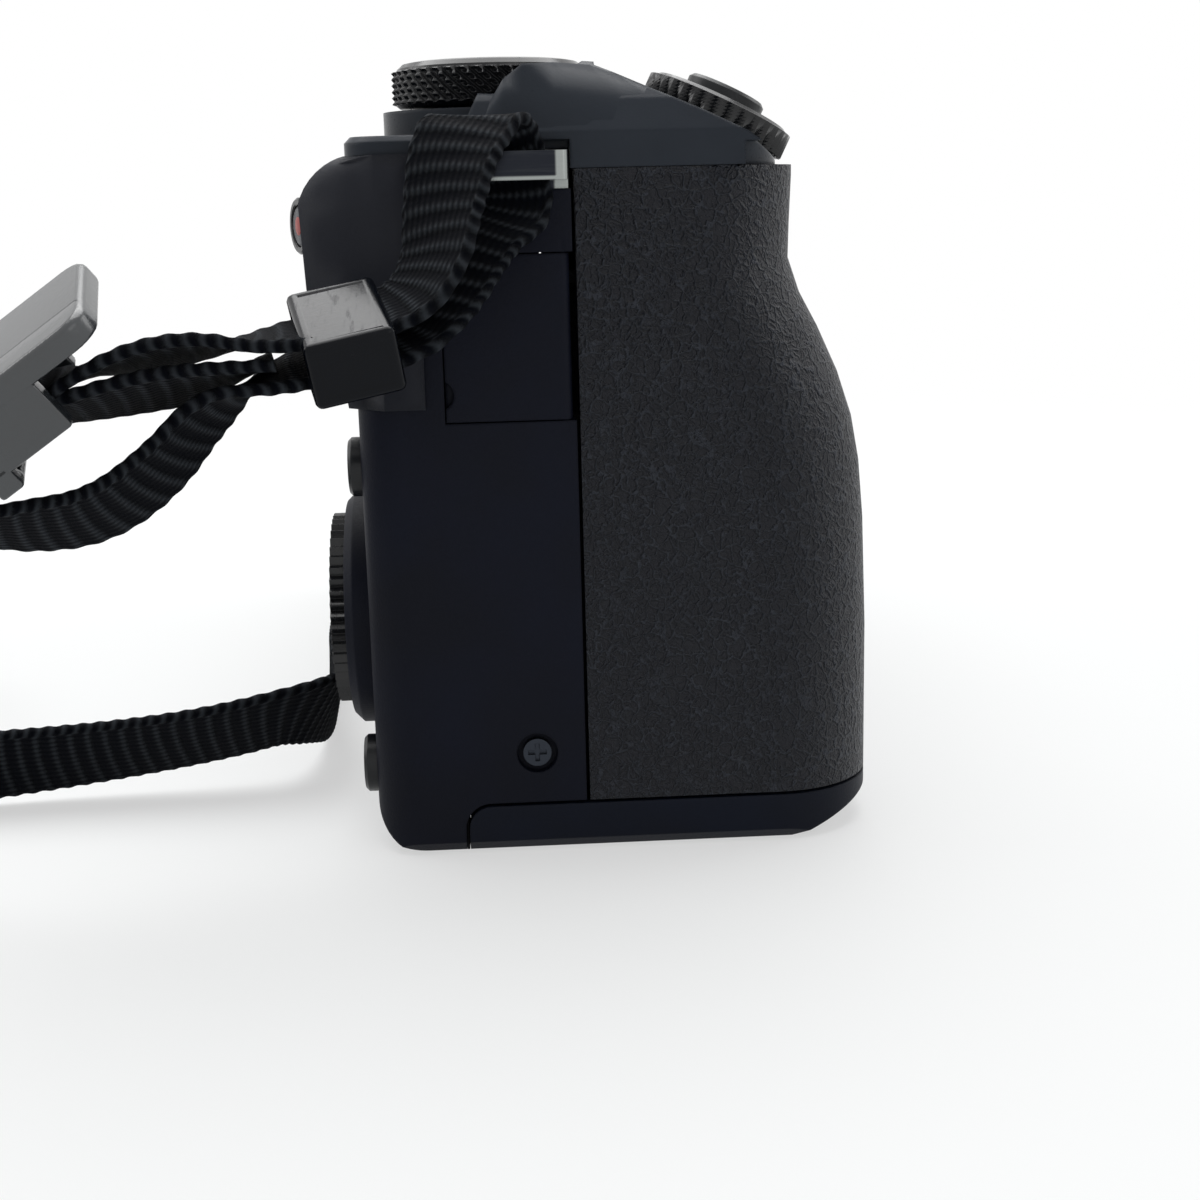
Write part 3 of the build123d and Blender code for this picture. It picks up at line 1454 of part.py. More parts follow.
with BuildPart() as top_cover:
    with BuildSketch(Plane.XY.offset(case_height)):
        add(top_plan(0))
    extrude(amount=tier_top - case_height)
    top_rim = top_cover.faces().sort_by(Axis.Z)[-1].edges()
    chamfer(top_rim, 0.5)
    with BuildSketch(Plane.XY.offset(case_height - 1)):
        add(top_plan(case_wall))
    extrude(amount=top_ceiling - case_height + 1, mode=Mode.SUBTRACT)
    # Solid foot under the main dial
    block(
        (main_dial_x - dial_foot_half, main_dial_x + dial_foot_half),
        (-top_reach + 1.2, -6.0),
        (case_height, top_ceiling + 0.2),
    )
    add(island.part)
    add(deck.part)
    # Slope that falls to the front under the main dial
    with BuildSketch(Plane.YZ.offset(grip_side_x - 1)):
        with BuildLine():
            Polyline(*slope_line, (-top_reach - 8, above), (slope_line[0][0], above), close=True)
        make_face()
    extrude(amount=slope_right_x - grip_side_x + 1, mode=Mode.SUBTRACT)
    block(
        (deck_left_x + 1, 12.0),
        (front_y + case_wall + 1, deck_back_y - 2),
        (case_height - 1, deck_top - case_wall),
        Mode.SUBTRACT,
    )
    # Notch above the screen pocket
    block(
        (pocket_left, pocket_right),
        (pocket_floor_y, back_y + 5),
        (case_height - 1, above),
        Mode.SUBTRACT,
    )
    # Seat of the exposure dial
    drum(Plane.XY.offset(tier_top), exposure_centre, exposure_collar_radius + 0.4, 10, Mode.SUBTRACT)
    drum(
        Plane.XY.offset(tier_top - 0.2),
        exposure_centre,
        exposure_collar_radius,
        exposure_collar_top - tier_top + 0.2,
    )
    drum(
        Plane.XY.offset(top_ceiling - 1),
        exposure_centre,
        dial_shaft_radius + running_gap,
        10,
        Mode.SUBTRACT,
    )
    drum(
        Plane.XY.offset(top_ceiling - 1),
        mode_centre,
        dial_shaft_radius + running_gap,
        10,
        Mode.SUBTRACT,
    )
    # Seat and spigot of the main dial, and the bore of the shutter button
    drum(
        main_dial_plane.offset(-main_dial_thick - 0.2),
        (0, 0),
        main_dial_radius + 0.5,
        14,
        Mode.SUBTRACT,
    )
    drum(
        main_dial_plane.offset(-main_dial_thick - 1.0),
        (0, 0),
        main_spigot_radius,
        main_dial_thick + 0.8,
    )
    drum(main_dial_plane.offset(-spigot_floor), (0, 0), shutter_bore, 14, Mode.SUBTRACT)
    drum(main_dial_plane.offset(-9), (0, 0), shutter_stem + running_gap, 9, Mode.SUBTRACT)
    drum(Plane.XY.offset(case_height), (power_x, power_y), power_radius + slide_gap, 10, Mode.SUBTRACT)
    # Tub of the flash
    block(
        (flash_left - flash_tub_wall, flash_right + flash_tub_wall),
        (flash_front_y - 0.8, flash_hinge_y + flash_relief + 0.7),
        (flash_pocket_floor - flash_tub_wall, deck_top - 1),
    )
    block(
        (flash_left, flash_right),
        (flash_front_y, flash_lid_back_y + 0.3),
        (flash_pocket_floor, above),
        Mode.SUBTRACT,
    )
    with BuildSketch(side_plane(flash_left)):
        with Locations((flash_hinge_y, flash_hinge_z)):
            Circle(flash_relief)
        with Locations((flash_hinge_y, flash_pocket_floor)):
            Rectangle(20, 20, align=(Align.CENTER, Align.MIN), mode=Mode.INTERSECT)
    extrude(amount=flash_right - flash_left, mode=Mode.SUBTRACT)
    drum(
        side_plane(flash_left - flash_tub_wall),
        (flash_hinge_y, flash_hinge_z),
        flash_pin_radius + running_gap,
        flash_right - flash_left + 2 * flash_tub_wall,
        Mode.SUBTRACT,
    )
    # Slot of the flash switch
    block(
        (flash_switch_x - 2.2, flash_switch_x + 4.8),
        (flash_switch_y - 0.75, flash_switch_y + 0.75),
        (deck_top - 2, above),
        Mode.SUBTRACT,
    )
    # Windows for the strap lugs
    for outside, inside in (
        (grip_side_x - 1, grip_side_x + case_wall),
        (far_side_x + 1, far_side_x - case_wall),
    ):
        block(
            sorted((outside, inside)),
            (seam_y + seam_gap / 2, lug_back_y + 0.4),
            (case_height - 1, lug_window_high),
            Mode.SUBTRACT,
        )
top_cover.part.label = "top_cover"
export_step(top_cover.part, "parts/top_cover.step")

# Exposure dial: knurled rim under a smooth cap, on a shaft
with BuildPart() as exposure_dial:
    toothed_ring(Plane.XY.offset(exposure_low), exposure_centre, exposure_radius, 0.3, 60, 3.0)
    drum(
        Plane.XY.offset(exposure_low + 3.0),
        exposure_centre,
        exposure_radius,
        exposure_high - exposure_low - 3.0,
    )
    chamfer(exposure_dial.faces().sort_by(Axis.Z)[-1].edges(), 0.5)
    drum(
        Plane.XY.offset(top_ceiling),
        exposure_centre,
        dial_shaft_radius,
        exposure_low - top_ceiling + 0.2,
    )
exposure_dial.part.label = "exposure_dial"
export_step(exposure_dial.part, "parts/exposure_dial.step")

# Mode dial on the deck
with BuildPart() as mode_dial:
    mode_low = deck_top + 0.3
    toothed_ring(
        Plane.XY.offset(mode_low),
        mode_centre,
        mode_radius,
        0.3,
        72,
        mode_high - mode_low - 0.6,
    )
    drum(Plane.XY.offset(mode_high - 0.8), mode_centre, mode_radius - 0.5, 0.8)
    drum(Plane.XY.offset(top_ceiling + 1), mode_centre, dial_shaft_radius, mode_low - top_ceiling - 0.8)
mode_dial.part.label = "mode_dial"
export_step(mode_dial.part, "parts/mode_dial.step")

# Main dial, leaning forward round the shutter button
with BuildPart() as main_dial:
    toothed_ring(
        main_dial_plane.offset(-main_dial_thick),
        (0, 0),
        main_dial_radius,
        0.5,
        main_dial_teeth,
        main_dial_thick - 0.4,
    )
    drum(main_dial_plane.offset(-0.5), (0, 0), main_dial_radius - 0.9, 0.5)
    drum(
        main_dial_plane.offset(-main_dial_thick - 1),
        (0, 0),
        main_spigot_radius + running_gap,
        6,
        Mode.SUBTRACT,
    )
main_dial.part.label = "main_dial"
export_step(main_dial.part, "parts/main_dial.step")

# Shutter button in the spigot of the main dial
with BuildPart() as shutter_button:
    drum(main_dial_plane.offset(-2.4), (0, 0), shutter_button_radius, 2.4 + shutter_button_out)
    chamfer(shutter_button.faces().sort_by(Axis.Z)[-1].edges(), 0.3)
    drum(main_dial_plane.offset(-7.0), (0, 0), shutter_stem, 4.7)
shutter_button.part.label = "shutter_button"
export_step(shutter_button.part, "parts/shutter_button.step")

# Power button in the deck
with BuildPart() as power_button:
    drum(Plane.XY.offset(deck_top - 2.2), (power_x, power_y), power_radius, 3.0)
    chamfer(power_button.faces().sort_by(Axis.Z)[-1].edges(), 0.3)
power_button.part.label = "power_button"
export_step(power_button.part, "parts/power_button.step")

# Hot shoe: floor, side rails with lips, and a stop in front
shoe_slot_low = deck_top + shoe_floor
shoe_slot_high = shoe_slot_low + shoe_slot_height
with BuildPart() as hot_shoe:
    block(
        (-shoe_half_width, shoe_half_width),
        (shoe_front_y, shoe_back_y),
        (deck_top, shoe_slot_high + shoe_lip),
    )
    fillet(hot_shoe.edges().filter_by(Axis.Z), 0.8)
    block(
        (-shoe_slot_half, shoe_slot_half),
        (shoe_front_y + 1.2, shoe_back_y + 1),
        (shoe_slot_low, shoe_slot_high),
        Mode.SUBTRACT,
    )
    block(
        (-shoe_mouth_half, shoe_mouth_half),
        (shoe_front_y + 1.2, shoe_back_y + 1),
        (shoe_slot_low, above),
        Mode.SUBTRACT,
    )
    drum(Plane.XY.offset(shoe_slot_low - 0.1), (0, 3.2), 1.4, 0.2)
hot_shoe.part.label = "hot_shoe"
export_step(hot_shoe.part, "parts/hot_shoe.step")

# Leaf spring in the shoe's slot, in two strips beside the contact
with BuildPart() as hot_shoe_spring:
    for side in (-1, 1):
        strip = sorted((side * 6.6, side * 9.1))
        block(strip, (shoe_front_y + 1.4, shoe_back_y - 0.6), (shoe_slot_low, shoe_slot_low + 0.25))
hot_shoe_spring.part.label = "hot_shoe_spring"
export_step(hot_shoe_spring.part, "parts/hot_shoe_spring.step")

# Flash arm: two side bars under a lid, hinged at the back of the tub
flash_arm_left = flash_left + 0.5
flash_arm_right = flash_right - 0.5
flash_tip_y = flash_hinge_y - flash_arm_length
with BuildPart() as flash_arm:
    for bar_x in (flash_arm_left, flash_arm_right - flash_arm_wide):
        block(
            (bar_x, bar_x + flash_arm_wide),
            (flash_tip_y - 1.0, flash_hinge_y + 0.8),
            (flash_hinge_z - 1.0, flash_hinge_z + 1.0),
        )
        block(
            (bar_x, bar_x + flash_arm_wide),
            (flash_head_back_y + 0.3, flash_hinge_y + 0.8),
            (flash_hinge_z, deck_top - 0.5),
        )
    block(
        (flash_arm_left, flash_arm_right),
        (flash_head_back_y + 0.3, flash_lid_back_y),
        (deck_top - 1.0, deck_top - 0.1),
    )
    drum(
        side_plane(flash_left - flash_tub_wall + 0.1),
        (flash_hinge_y, flash_hinge_z),
        flash_pin_radius,
        flash_arm_left - flash_left + flash_tub_wall,
    )
    drum(
        side_plane(flash_arm_right - 0.1),
        (flash_hinge_y, flash_hinge_z),
        flash_pin_radius,
        flash_right - flash_arm_right + flash_tub_wall,
    )
    drum(
        side_plane(flash_left - 1),
        (flash_tip_y, flash_hinge_z),
        flash_pin_radius + running_gap,
        flash_right - flash_left + 2,
        Mode.SUBTRACT,
    )
flash_arm.part.label = "flash_arm"
export_step(flash_arm.part, "parts/flash_arm.step")

# Flash head, hung between the bars, and its lens window
head_left = flash_arm_left + flash_arm_wide + 0.2
head_right = flash_arm_right - flash_arm_wide - 0.2
with BuildPart() as flash_head:
    block(
        (head_left, head_right),
        (flash_head_front_y, flash_head_back_y),
        (flash_head_low, deck_top - 0.1),
    )
    fillet(flash_head.edges().filter_by(Axis.X).group_by(Axis.Z)[-1].sort_by(Axis.Y)[0], 1.2)
    drum(
        side_plane(flash_arm_left + 0.1),
        (flash_tip_y, flash_hinge_z),
        flash_pin_radius,
        flash_arm_right - flash_arm_left - 0.2,
    )
    block(
        (head_left + 2, head_right - 2),
        (flash_head_front_y - 1, flash_head_front_y + 1.0),
        (flash_head_low + 1.0, deck_top - 1.6),
        Mode.SUBTRACT,
    )
flash_head.part.label = "flash_head"
export_step(flash_head.part, "parts/flash_head.step")

with BuildPart() as flash_lens:
    block(
        (head_left + 2.05, head_right - 2.05),
        (flash_head_front_y + 0.15, flash_head_front_y + 1.0),
        (flash_head_low + 1.05, deck_top - 1.65),
    )
flash_lens.part.label = "flash_lens"
export_step(flash_lens.part, "parts/flash_lens.step")

# Slide switch that raises the flash
with BuildPart() as flash_switch:
    block(
        (flash_switch_x - 2.0, flash_switch_x + 2.0),
        (flash_switch_y - 0.63, flash_switch_y + 0.63),
        (deck_top - 1.9, deck_top + 0.9),
    )
    for rib in range(3):
        rib_x = flash_switch_x - 1.2 + 1.2 * rib
        block(
            (rib_x - 0.2, rib_x + 0.2),
            (flash_switch_y - 1, flash_switch_y + 1),
            (deck_top + 0.6, deck_top + 1),
            Mode.SUBTRACT,
        )
flash_switch.part.label = "flash_switch"
export_step(flash_switch.part, "parts/flash_switch.step")

# Lens release button and the lock pin that it draws back
with BuildPart() as lens_release_button:
    drum(back_plane(front_y + 1.2), release_centre, release_radius, 1.2 + release_out)
    chamfer(lens_release_button.faces().sort_by(Axis.Y)[0].edges(), 0.5)
    drum(back_plane(front_y + 2.2), release_centre, release_radius - 0.8, 1.2)
lens_release_button.part.label = "lens_release_button"
export_step(lens_release_button.part, "parts/lens_release_button.step")

with BuildPart() as lens_lock_pin:
    drum(
        back_plane(chassis_front_y - 1.8),
        pin_place,
        lock_pin_radius,
        chassis_front_y - 1.8 - flange_y + lock_pin_out,
    )
    chamfer(lens_lock_pin.faces().sort_by(Axis.Y)[0].edges(), 0.2)
lens_lock_pin.part.label = "lens_lock_pin"
export_step(lens_lock_pin.part, "parts/lens_lock_pin.step")

# Neck strap. Its two ends run free; its middle lies in a coil with both leads on one side.
coil_height = webbing_width / 2
coil_first_radius = coil_eye + coil_pitch / 2


def coil_point(x, y):
    """Point of the coil from its own x and y; the leads are at its -X side."""
    return (coil_centre[0] - x, coil_centre[1] + y, coil_height)


def coil_half_turn(centre_x, radius, way):
    """Half circle from one end to the other of a diameter along X, above or below it."""
    ThreePointArc(
        coil_point(centre_x + radius, 0),
        coil_point(centre_x, way * radius),
        coil_point(centre_x - radius, 0),
    )


outer_lead_x = coil_pitch / 2 + coil_first_radius + (coil_arcs - 1) * coil_pitch
inner_lead_x = outer_lead_x - coil_pitch
with BuildPart() as strap_coil:
    with BuildLine() as coil_route:
        Line(coil_point(outer_lead_x, -coil_lead), coil_point(outer_lead_x, 0))
        for turn in range(coil_arcs):
            coil_half_turn(coil_pitch / 2, coil_first_radius + turn * coil_pitch, 1)
        for turn in range(coil_arcs - 1):
            coil_half_turn(-coil_pitch / 2, coil_first_radius + turn * coil_pitch, -1)
        coil_half_turn(coil_eye / 2, coil_eye / 2, 1)
        coil_half_turn(-coil_eye / 2, coil_eye / 2, -1)
        Line(coil_point(inner_lead_x, 0), coil_point(inner_lead_x, -coil_lead))
    coil_wire = coil_route.wires()[0]
    with BuildSketch(Plane(origin=coil_wire @ 0, x_dir=(0, 0, 1), z_dir=coil_wire % 0)):
        Rectangle(webbing_width, webbing_thick)
    sweep(path=coil_wire)
strap_coil.part.label = "strap_coil"
export_step(strap_coil.part, "parts/strap_coil.step")

coil_step = 1.0
coil_samples = int(coil_wire.length / coil_step)
coil_points = [tuple(coil_wire @ (index / coil_samples)) for index in range(coil_samples + 1)]
apart = int(3 * coil_pitch / coil_step)
coil_gap = min(
    dist(coil_points[first], coil_points[second])
    for first in range(0, coil_samples, 2)
    for second in range(first + apart, coil_samples + 1, 2)
)
print("coil length", round(coil_wire.length, 1), "least gap", round(coil_gap - webbing_thick, 2))
coil_volume = webbing_width * webbing_thick * coil_wire.length
print("coil volume", round(strap_coil.part.volume, 1), "of", round(coil_volume, 1))

# Webbing beside the grip: from the coil through buckle and keeper, over the lug, back through the
# keeper, down in a slack bow and into the buckle again, with its tail lying under the upper ply.
grip_bar_x = grip_side_x - lug_clear - lug_bar / 2
far_bar_x = far_side_x + lug_clear + lug_bar / 2
bar_reach = lug_bar / 2 + webbing_cord_radius + 0.25
bar_top_z = lug_high + webbing_cord_radius + 0.25


def raised(places):
    """Places of the strap, raised above the coil as far as the body's height asks."""
    lift = (case_height - strap_drawn_height) / (strap_drawn_height - coil_height)
    return [(x, y, z + lift * (z - coil_height)) for x, y, z in places]


grip_route = [
    coil_point(outer_lead_x, -coil_lead),
    coil_point(outer_lead_x, -12.5),
    *raised(
        [
            (-59.2, 76.0, 11.0),
            (-65.6, 67.8, 19.4),
            (-72.6, 61.0, 27.8),
            (-77.2, 56.4, 34.0),
            (-79.0, 51.0, 38.9),
            (-79.0, 43.0, 43.2),
            (-78.4, 36.0, 45.4),
            (-77.7, 30.4, 46.3),
            (-76.9, 25.0, 46.4),
            (-75.4, 14.6, 48.4),
            (-73.8, 11.8, 51.8),
            (-71.9, 10.4, 55.4),
            (-69.9, 9.2, 58.6),
        ]
    ),
    (grip_bar_x - bar_reach, 8.0, bar_top_z),
    (grip_bar_x + bar_reach, 7.4, bar_top_z),
    (grip_bar_x + bar_reach, 6.6, lug_low - 0.8),
    *raised(
        [
            (-67.3, 6.8, 55.2),
            (-70.3, 9.6, 53.6),
            (-72.8, 12.2, 49.4),
            (-74.4, 14.6, 45.9),
            (-75.9, 24.7, 43.8),
            (-76.2, 29.5, 40.8),
            (-76.3, 33.8, 36.6),
            (-76.6, 38.6, 33.4),
            (-77.0, 44.0, 32.8),
            (-77.6, 47.8, 33.0),
            (-78.2, 50.3, 34.2),
            (-78.7, 50.7, 36.4),
            (-78.9, 49.0, 37.9),
            (-79.0, 46.2, 39.6),
            (-78.9, 41.8, 41.7),
            (-78.0, 35.2, 42.9),
            (-77.2, 29.8, 43.6),
        ]
    ),
]

# Webbing on the far side: from its tail up over the far lug, down through keeper and buckle,
# then along the floor behind the camera to the coil.
far_route = [
    *raised(
        [
            (50.35, 14.9, 22.0),
            (50.45, 12.4, 32.0),
            (50.2, 9.0, 47.0),
            (49.7, 7.6, 54.0),
        ]
    ),
    (far_bar_x - bar_reach, 7.2, lug_low - 0.8),
    (far_bar_x - bar_reach, 6.8, bar_top_z),
    (far_bar_x + bar_reach, 6.8, bar_top_z),
    *raised(
        [
            (51.6, 7.3, 57.6),
            (52.8, 8.4, 51.6),
            (53.0, 11.4, 36.6),
            (53.1, 14.0, 25.0),
            (52.9, 16.8, 16.6),
            (51.6, 20.4, 9.8),
            (46.6, 24.8, 5.6),
            (38.0, 27.2, 4.5),
            (24.0, 27.0, 4.3),
            (4.0, 28.2, 4.3),
            (-16.0, 27.4, 4.3),
            (-29.0, 26.2, 4.4),
            (-38.4, 25.8, 6.6),
            (-44.2, 28.6, 7.6),
            (-46.0, 36.0, 6.4),
            (-46.4, 46.0, 5.2),
            (-47.4, 59.0, 4.4),
            (-50.4, 74.0, 4.3),
        ]
    ),
    coil_point(inner_lead_x, -12.0),
    coil_point(inner_lead_x, -coil_lead),
]


def bend_radii(route):
    """Largest arc at each corner that leaves a tenth of the shorter run straight."""
    radii = []
    for before, corner, after in zip(route, route[1:], route[2:]):
        run_in = Vector(*corner) - Vector(*before)
        run_out = Vector(*after) - Vector(*corner)
        half_turn = radians(run_in.get_angle(run_out)) / 2
        radii.append(0.45 * min(run_in.length, run_out.length) / tan(half_turn))
    return radii


for route_name, route in (("strap_grip_webbing", grip_route), ("strap_far_webbing", far_route)):
    route_radii = bend_radii(route)
    with BuildPart() as webbing:
        with BuildLine() as webbing_route:
            FilletPolyline(*route, radius=route_radii)
        webbing_wire = webbing_route.wires()[0]
        with BuildSketch(Plane(origin=webbing_wire @ 0, z_dir=webbing_wire % 0)):
            Circle(webbing_cord_radius)
        sweep(path=webbing_wire)
    webbing.part.label = route_name
    export_step(webbing.part, f"parts/{route_name}.step")
    webbing_volume = pi * webbing_cord_radius**2 * webbing_wire.length
    print(
        route_name,
        "length",
        round(webbing_wire.length, 1),
        "radii",
        [round(r, 1) for r in route_radii],
    )
    print(route_name, "volume", round(webbing.part.volume, 1), "of", round(webbing_volume, 1))

# Keepers and buckles: places on the webbing, the way it runs there and the side that faces out
keeper_places = [
    ((-75.6, 19.05, 46.2), (0.145, -0.97, 0.19), (-0.347, 0.13, 0.929)),
    ((51.6, 9.9, 44.1), (0.0, 0.2, -0.98), (1.0, 0.0, 0.0)),
]
buckle_places = [
    ((-79.3, 42.9, 46.6), (0.03, 0.82, -0.57), (-0.33, 0.53, 0.78)),
    ((55.2, 13.3, 28.0), (0.0, 0.22, -0.975), (1.0, 0.0, 0.0)),
]


def strap_plane(place, along, outward):
    """Plane square to the strap, x across the webbing and y towards its inner side."""
    run = Vector(*along).normalized()
    across = run.cross(Vector(*outward)).normalized()
    return Plane(origin=raised([place])[0], x_dir=across, z_dir=run)


with BuildPart() as strap_keepers:
    for place, along, outward in keeper_places:
        middle = strap_plane(place, along, outward)
        with BuildSketch(middle.offset(-keeper_length / 2)) as keeper_section:
            RectangleRounded(keeper_width, keeper_height, 0.5)
            Rectangle(
                keeper_width - 2 * keeper_wall,
                keeper_height - 2 * keeper_wall,
                mode=Mode.SUBTRACT,
            )
        extrude(keeper_section.sketch, amount=keeper_length)
strap_keepers.part.label = "strap_keepers"
export_step(strap_keepers.part, "parts/strap_keepers.step")

with BuildPart() as strap_buckles:
    for place, along, outward in buckle_places:
        middle = strap_plane(place, along, outward)
        with BuildSketch(middle.offset(-buckle_length / 2)) as plate_section:
            RectangleRounded(buckle_width, buckle_plate, 0.6)
        extrude(plate_section.sketch, amount=buckle_length)
        with BuildSketch(middle.offset(buckle_length / 2 - buckle_leg_length)) as leg_section:
            for side in (-1, 1):
                with Locations((side * (buckle_width - buckle_leg_thick) / 2, 0)):
                    Rectangle(buckle_leg_thick, buckle_leg_depth, align=(Align.CENTER, Align.MIN))
        extrude(leg_section.sketch, amount=buckle_leg_length)
        with BuildSketch(middle.offset(buckle_length / 2 - buckle_bar_length)) as end_frame:
            Rectangle(buckle_width, buckle_bar_high, align=(Align.CENTER, Align.MIN))
            Rectangle(
                buckle_width - 2 * buckle_leg_thick,
                buckle_bar_low,
                align=(Align.CENTER, Align.MIN),
                mode=Mode.SUBTRACT,
            )
        extrude(end_frame.sketch, amount=buckle_bar_length)
strap_buckles.part.label = "strap_buckles"
export_step(strap_buckles.part, "parts/strap_buckles.step")
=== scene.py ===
from math import cos, pi, radians, sin

import bmesh
import bpy
from mathutils import Matrix, Quaternion, Vector


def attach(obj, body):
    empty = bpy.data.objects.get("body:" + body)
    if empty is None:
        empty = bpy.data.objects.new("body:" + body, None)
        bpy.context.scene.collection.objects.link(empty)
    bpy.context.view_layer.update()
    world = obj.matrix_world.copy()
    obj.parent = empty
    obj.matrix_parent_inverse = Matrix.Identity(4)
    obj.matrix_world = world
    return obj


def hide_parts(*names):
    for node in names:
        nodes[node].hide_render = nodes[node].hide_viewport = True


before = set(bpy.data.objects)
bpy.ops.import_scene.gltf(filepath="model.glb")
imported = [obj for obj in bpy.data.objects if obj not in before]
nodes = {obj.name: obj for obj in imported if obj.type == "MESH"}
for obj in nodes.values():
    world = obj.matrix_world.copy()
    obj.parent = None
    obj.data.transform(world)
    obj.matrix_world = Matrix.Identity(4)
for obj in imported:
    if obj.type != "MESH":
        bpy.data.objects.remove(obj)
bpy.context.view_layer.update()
print("frame loaded:", len(nodes), "nodes")

viewpoint = {
    "eye": (-0.2145, 0.0075, 0.057),
    "pitch": -12.9,
    "yaw": 3.1,
    "roll": 1.4,
    "lens": 53.55,
    "sensor": 36,
    "clip": (0.01, 20),
}


def placeCamera(v):
    pitch, yaw = radians(v["pitch"]), radians(v["yaw"])
    forward = Vector((cos(pitch) * cos(yaw), -cos(pitch) * sin(yaw), sin(pitch)))
    camera = bpy.data.objects.new("camera", bpy.data.cameras.new("camera"))
    camera.data.lens = v["lens"]
    camera.data.sensor_width = v["sensor"]
    camera.data.clip_start, camera.data.clip_end = v["clip"]
    camera.rotation_mode = "QUATERNION"
    camera.location = v["eye"]
    turn = Quaternion((0, 0, 1), -radians(v["roll"]))
    camera.rotation_quaternion = forward.to_track_quat("-Z", "Y") @ turn
    bpy.context.scene.collection.objects.link(camera)
    bpy.context.scene.camera = camera


placeCamera(viewpoint)
bpy.context.scene.view_settings.view_transform = "Standard"


# shader maths: a Signal is one output socket, and + - * ** on it add Math nodes
class Signal:
    def __init__(self, paint, socket):
        self.paint = paint
        self.socket = socket

    def maths(self, operation, a, b):
        return self.paint.node("ShaderNodeMath", {"operation": operation}, {0: a, 1: b})

    def __add__(self, other):
        return self.maths("ADD", self, other)

    def __radd__(self, other):
        return self.maths("ADD", other, self)

    def __sub__(self, other):
        return self.maths("SUBTRACT", self, other)

    def __rsub__(self, other):
        return self.maths("SUBTRACT", other, self)

    def __mul__(self, other):
        return self.maths("MULTIPLY", self, other)

    def __rmul__(self, other):
        return self.maths("MULTIPLY", other, self)

    def __pow__(self, other):
        return self.maths("POWER", self, other)


class Wiring:
    # one way to add any node to a material or to the world: settings first, then its inputs
    def __init__(self, tree):
        self.tree = tree

    def node(self, kind, settings=None, inputs=None, output=0):
        made = self.tree.nodes.new(kind)
        for key, value in (settings or {}).items():
            setattr(made, key, value)
        for key, value in (inputs or {}).items():
            self.feed(made.inputs[key], value)
        return Signal(self, made.outputs[output])

    def feed(self, socket, value):
        if isinstance(value, Signal):
            self.tree.links.new(value.socket, socket)
        else:
            socket.default_value = value

    def backdropRays(self):
        # 1 for rays that show the backdrop: from the camera, in gloss and through glass
        rays = self.node("ShaderNodeLightPath").socket.node
        names = ("Is Camera Ray", "Is Glossy Ray", "Is Transmission Ray")
        seen, gloss, through = (Signal(self, rays.outputs[name]) for name in names)
        return self.node("ShaderNodeMath", {"operation": "MINIMUM"}, {0: seen + gloss + through, 1: 1.0})

    def band(self, value, low, high, toLow=0.0, toHigh=1.0):
        return self.node(
            "ShaderNodeMapRange",
            {"interpolation_type": "SMOOTHSTEP"},
            {"Value": value, "From Min": low, "From Max": high, "To Min": toLow, "To Max": toHigh},
        )


class Paint(Wiring):
    def __init__(self, name, look):
        self.material = bpy.data.materials.new(name)
        self.material.use_nodes = True
        super().__init__(self.material.node_tree)
        self.shader = self.tree.nodes["Principled BSDF"]
        self.material.diffuse_color = (*look["colour"], 1)
        self.set("Base Color", (*look["colour"], 1))
        self.set("Roughness", look["roughness"])
        self.set("Metallic", look.get("metallic", 0.0))
        self.set("Specular IOR Level", look.get("gloss", 0.5))
        self.softEdge = self.node("ShaderNodeBevel", {"samples": 4}, {"Radius": look.get("edge", 0.0002)})

    def set(self, name, value):
        self.feed(self.shader.inputs[name], value)

    # surface coordinates in millimetres
    def place(self, scale=(1000, 1000, 1000), turn=(0, 0, 0), shift=(0, 0, 0)):
        where = self.node("ShaderNodeTexCoord", output="Object")
        return self.node(
            "ShaderNodeMapping",
            {"vector_type": "POINT"},
            {"Vector": where, "Scale": scale, "Rotation": turn, "Location": shift},
        )

    def axes(self, vector):
        split = self.node("ShaderNodeSeparateXYZ", inputs={"Vector": vector}).socket.node
        return [Signal(self, split.outputs[i]) for i in range(3)]

    def noise(self, where, scale, detail, rough):
        inputs = {"Vector": where, "Scale": scale, "Detail": detail, "Roughness": rough}
        return self.node("ShaderNodeTexNoise", inputs=inputs)

    def wave(self, value, pitch):
        return self.node("ShaderNodeMath", {"operation": "SINE"}, {0: value * (2 * pi / pitch)})

    def size(self, value):
        return self.node("ShaderNodeMath", {"operation": "ABSOLUTE"}, {0: value})

    def blend(self, factor, a, b):
        a, b = (c if isinstance(c, Signal) else (*c, 1) for c in (a, b))
        return self.node("ShaderNodeMix", {"data_type": "RGBA"}, {0: factor, 6: a, 7: b}, output=2)

    def relief(self, height, distance):
        inputs = {"Height": height, "Distance": distance, "Strength": 1.0, "Normal": self.softEdge}
        self.set("Normal", self.node("ShaderNodeBump", inputs=inputs))


def paintedPlastic(name, look):
    # fine-grained paint over moulded plastic
    paint = Paint(name, look)
    where = paint.place()
    fine = paint.noise(where, look["grain"], 2.0, 0.6)
    broad = paint.noise(where, 0.09, 3.0, 0.5)
    dust = paint.band(paint.noise(where, 1.7, 5.0, 0.7), 0.68, 0.82)
    dark = tuple(c * (1 - look["drift"]) for c in look["colour"])
    light = tuple(c * (1 + look["drift"]) for c in look["colour"])
    tone = paint.blend(paint.band(broad, 0.3, 0.7), dark, light)
    paint.set("Base Color", paint.blend(dust * 0.25, tone, tuple(c + 0.012 for c in light)))
    paint.set("Roughness", look["roughness"] + (broad - 0.5) * 0.1 + (fine - 0.5) * 0.12)
    paint.relief(fine, look["depth"])
    return paint.material


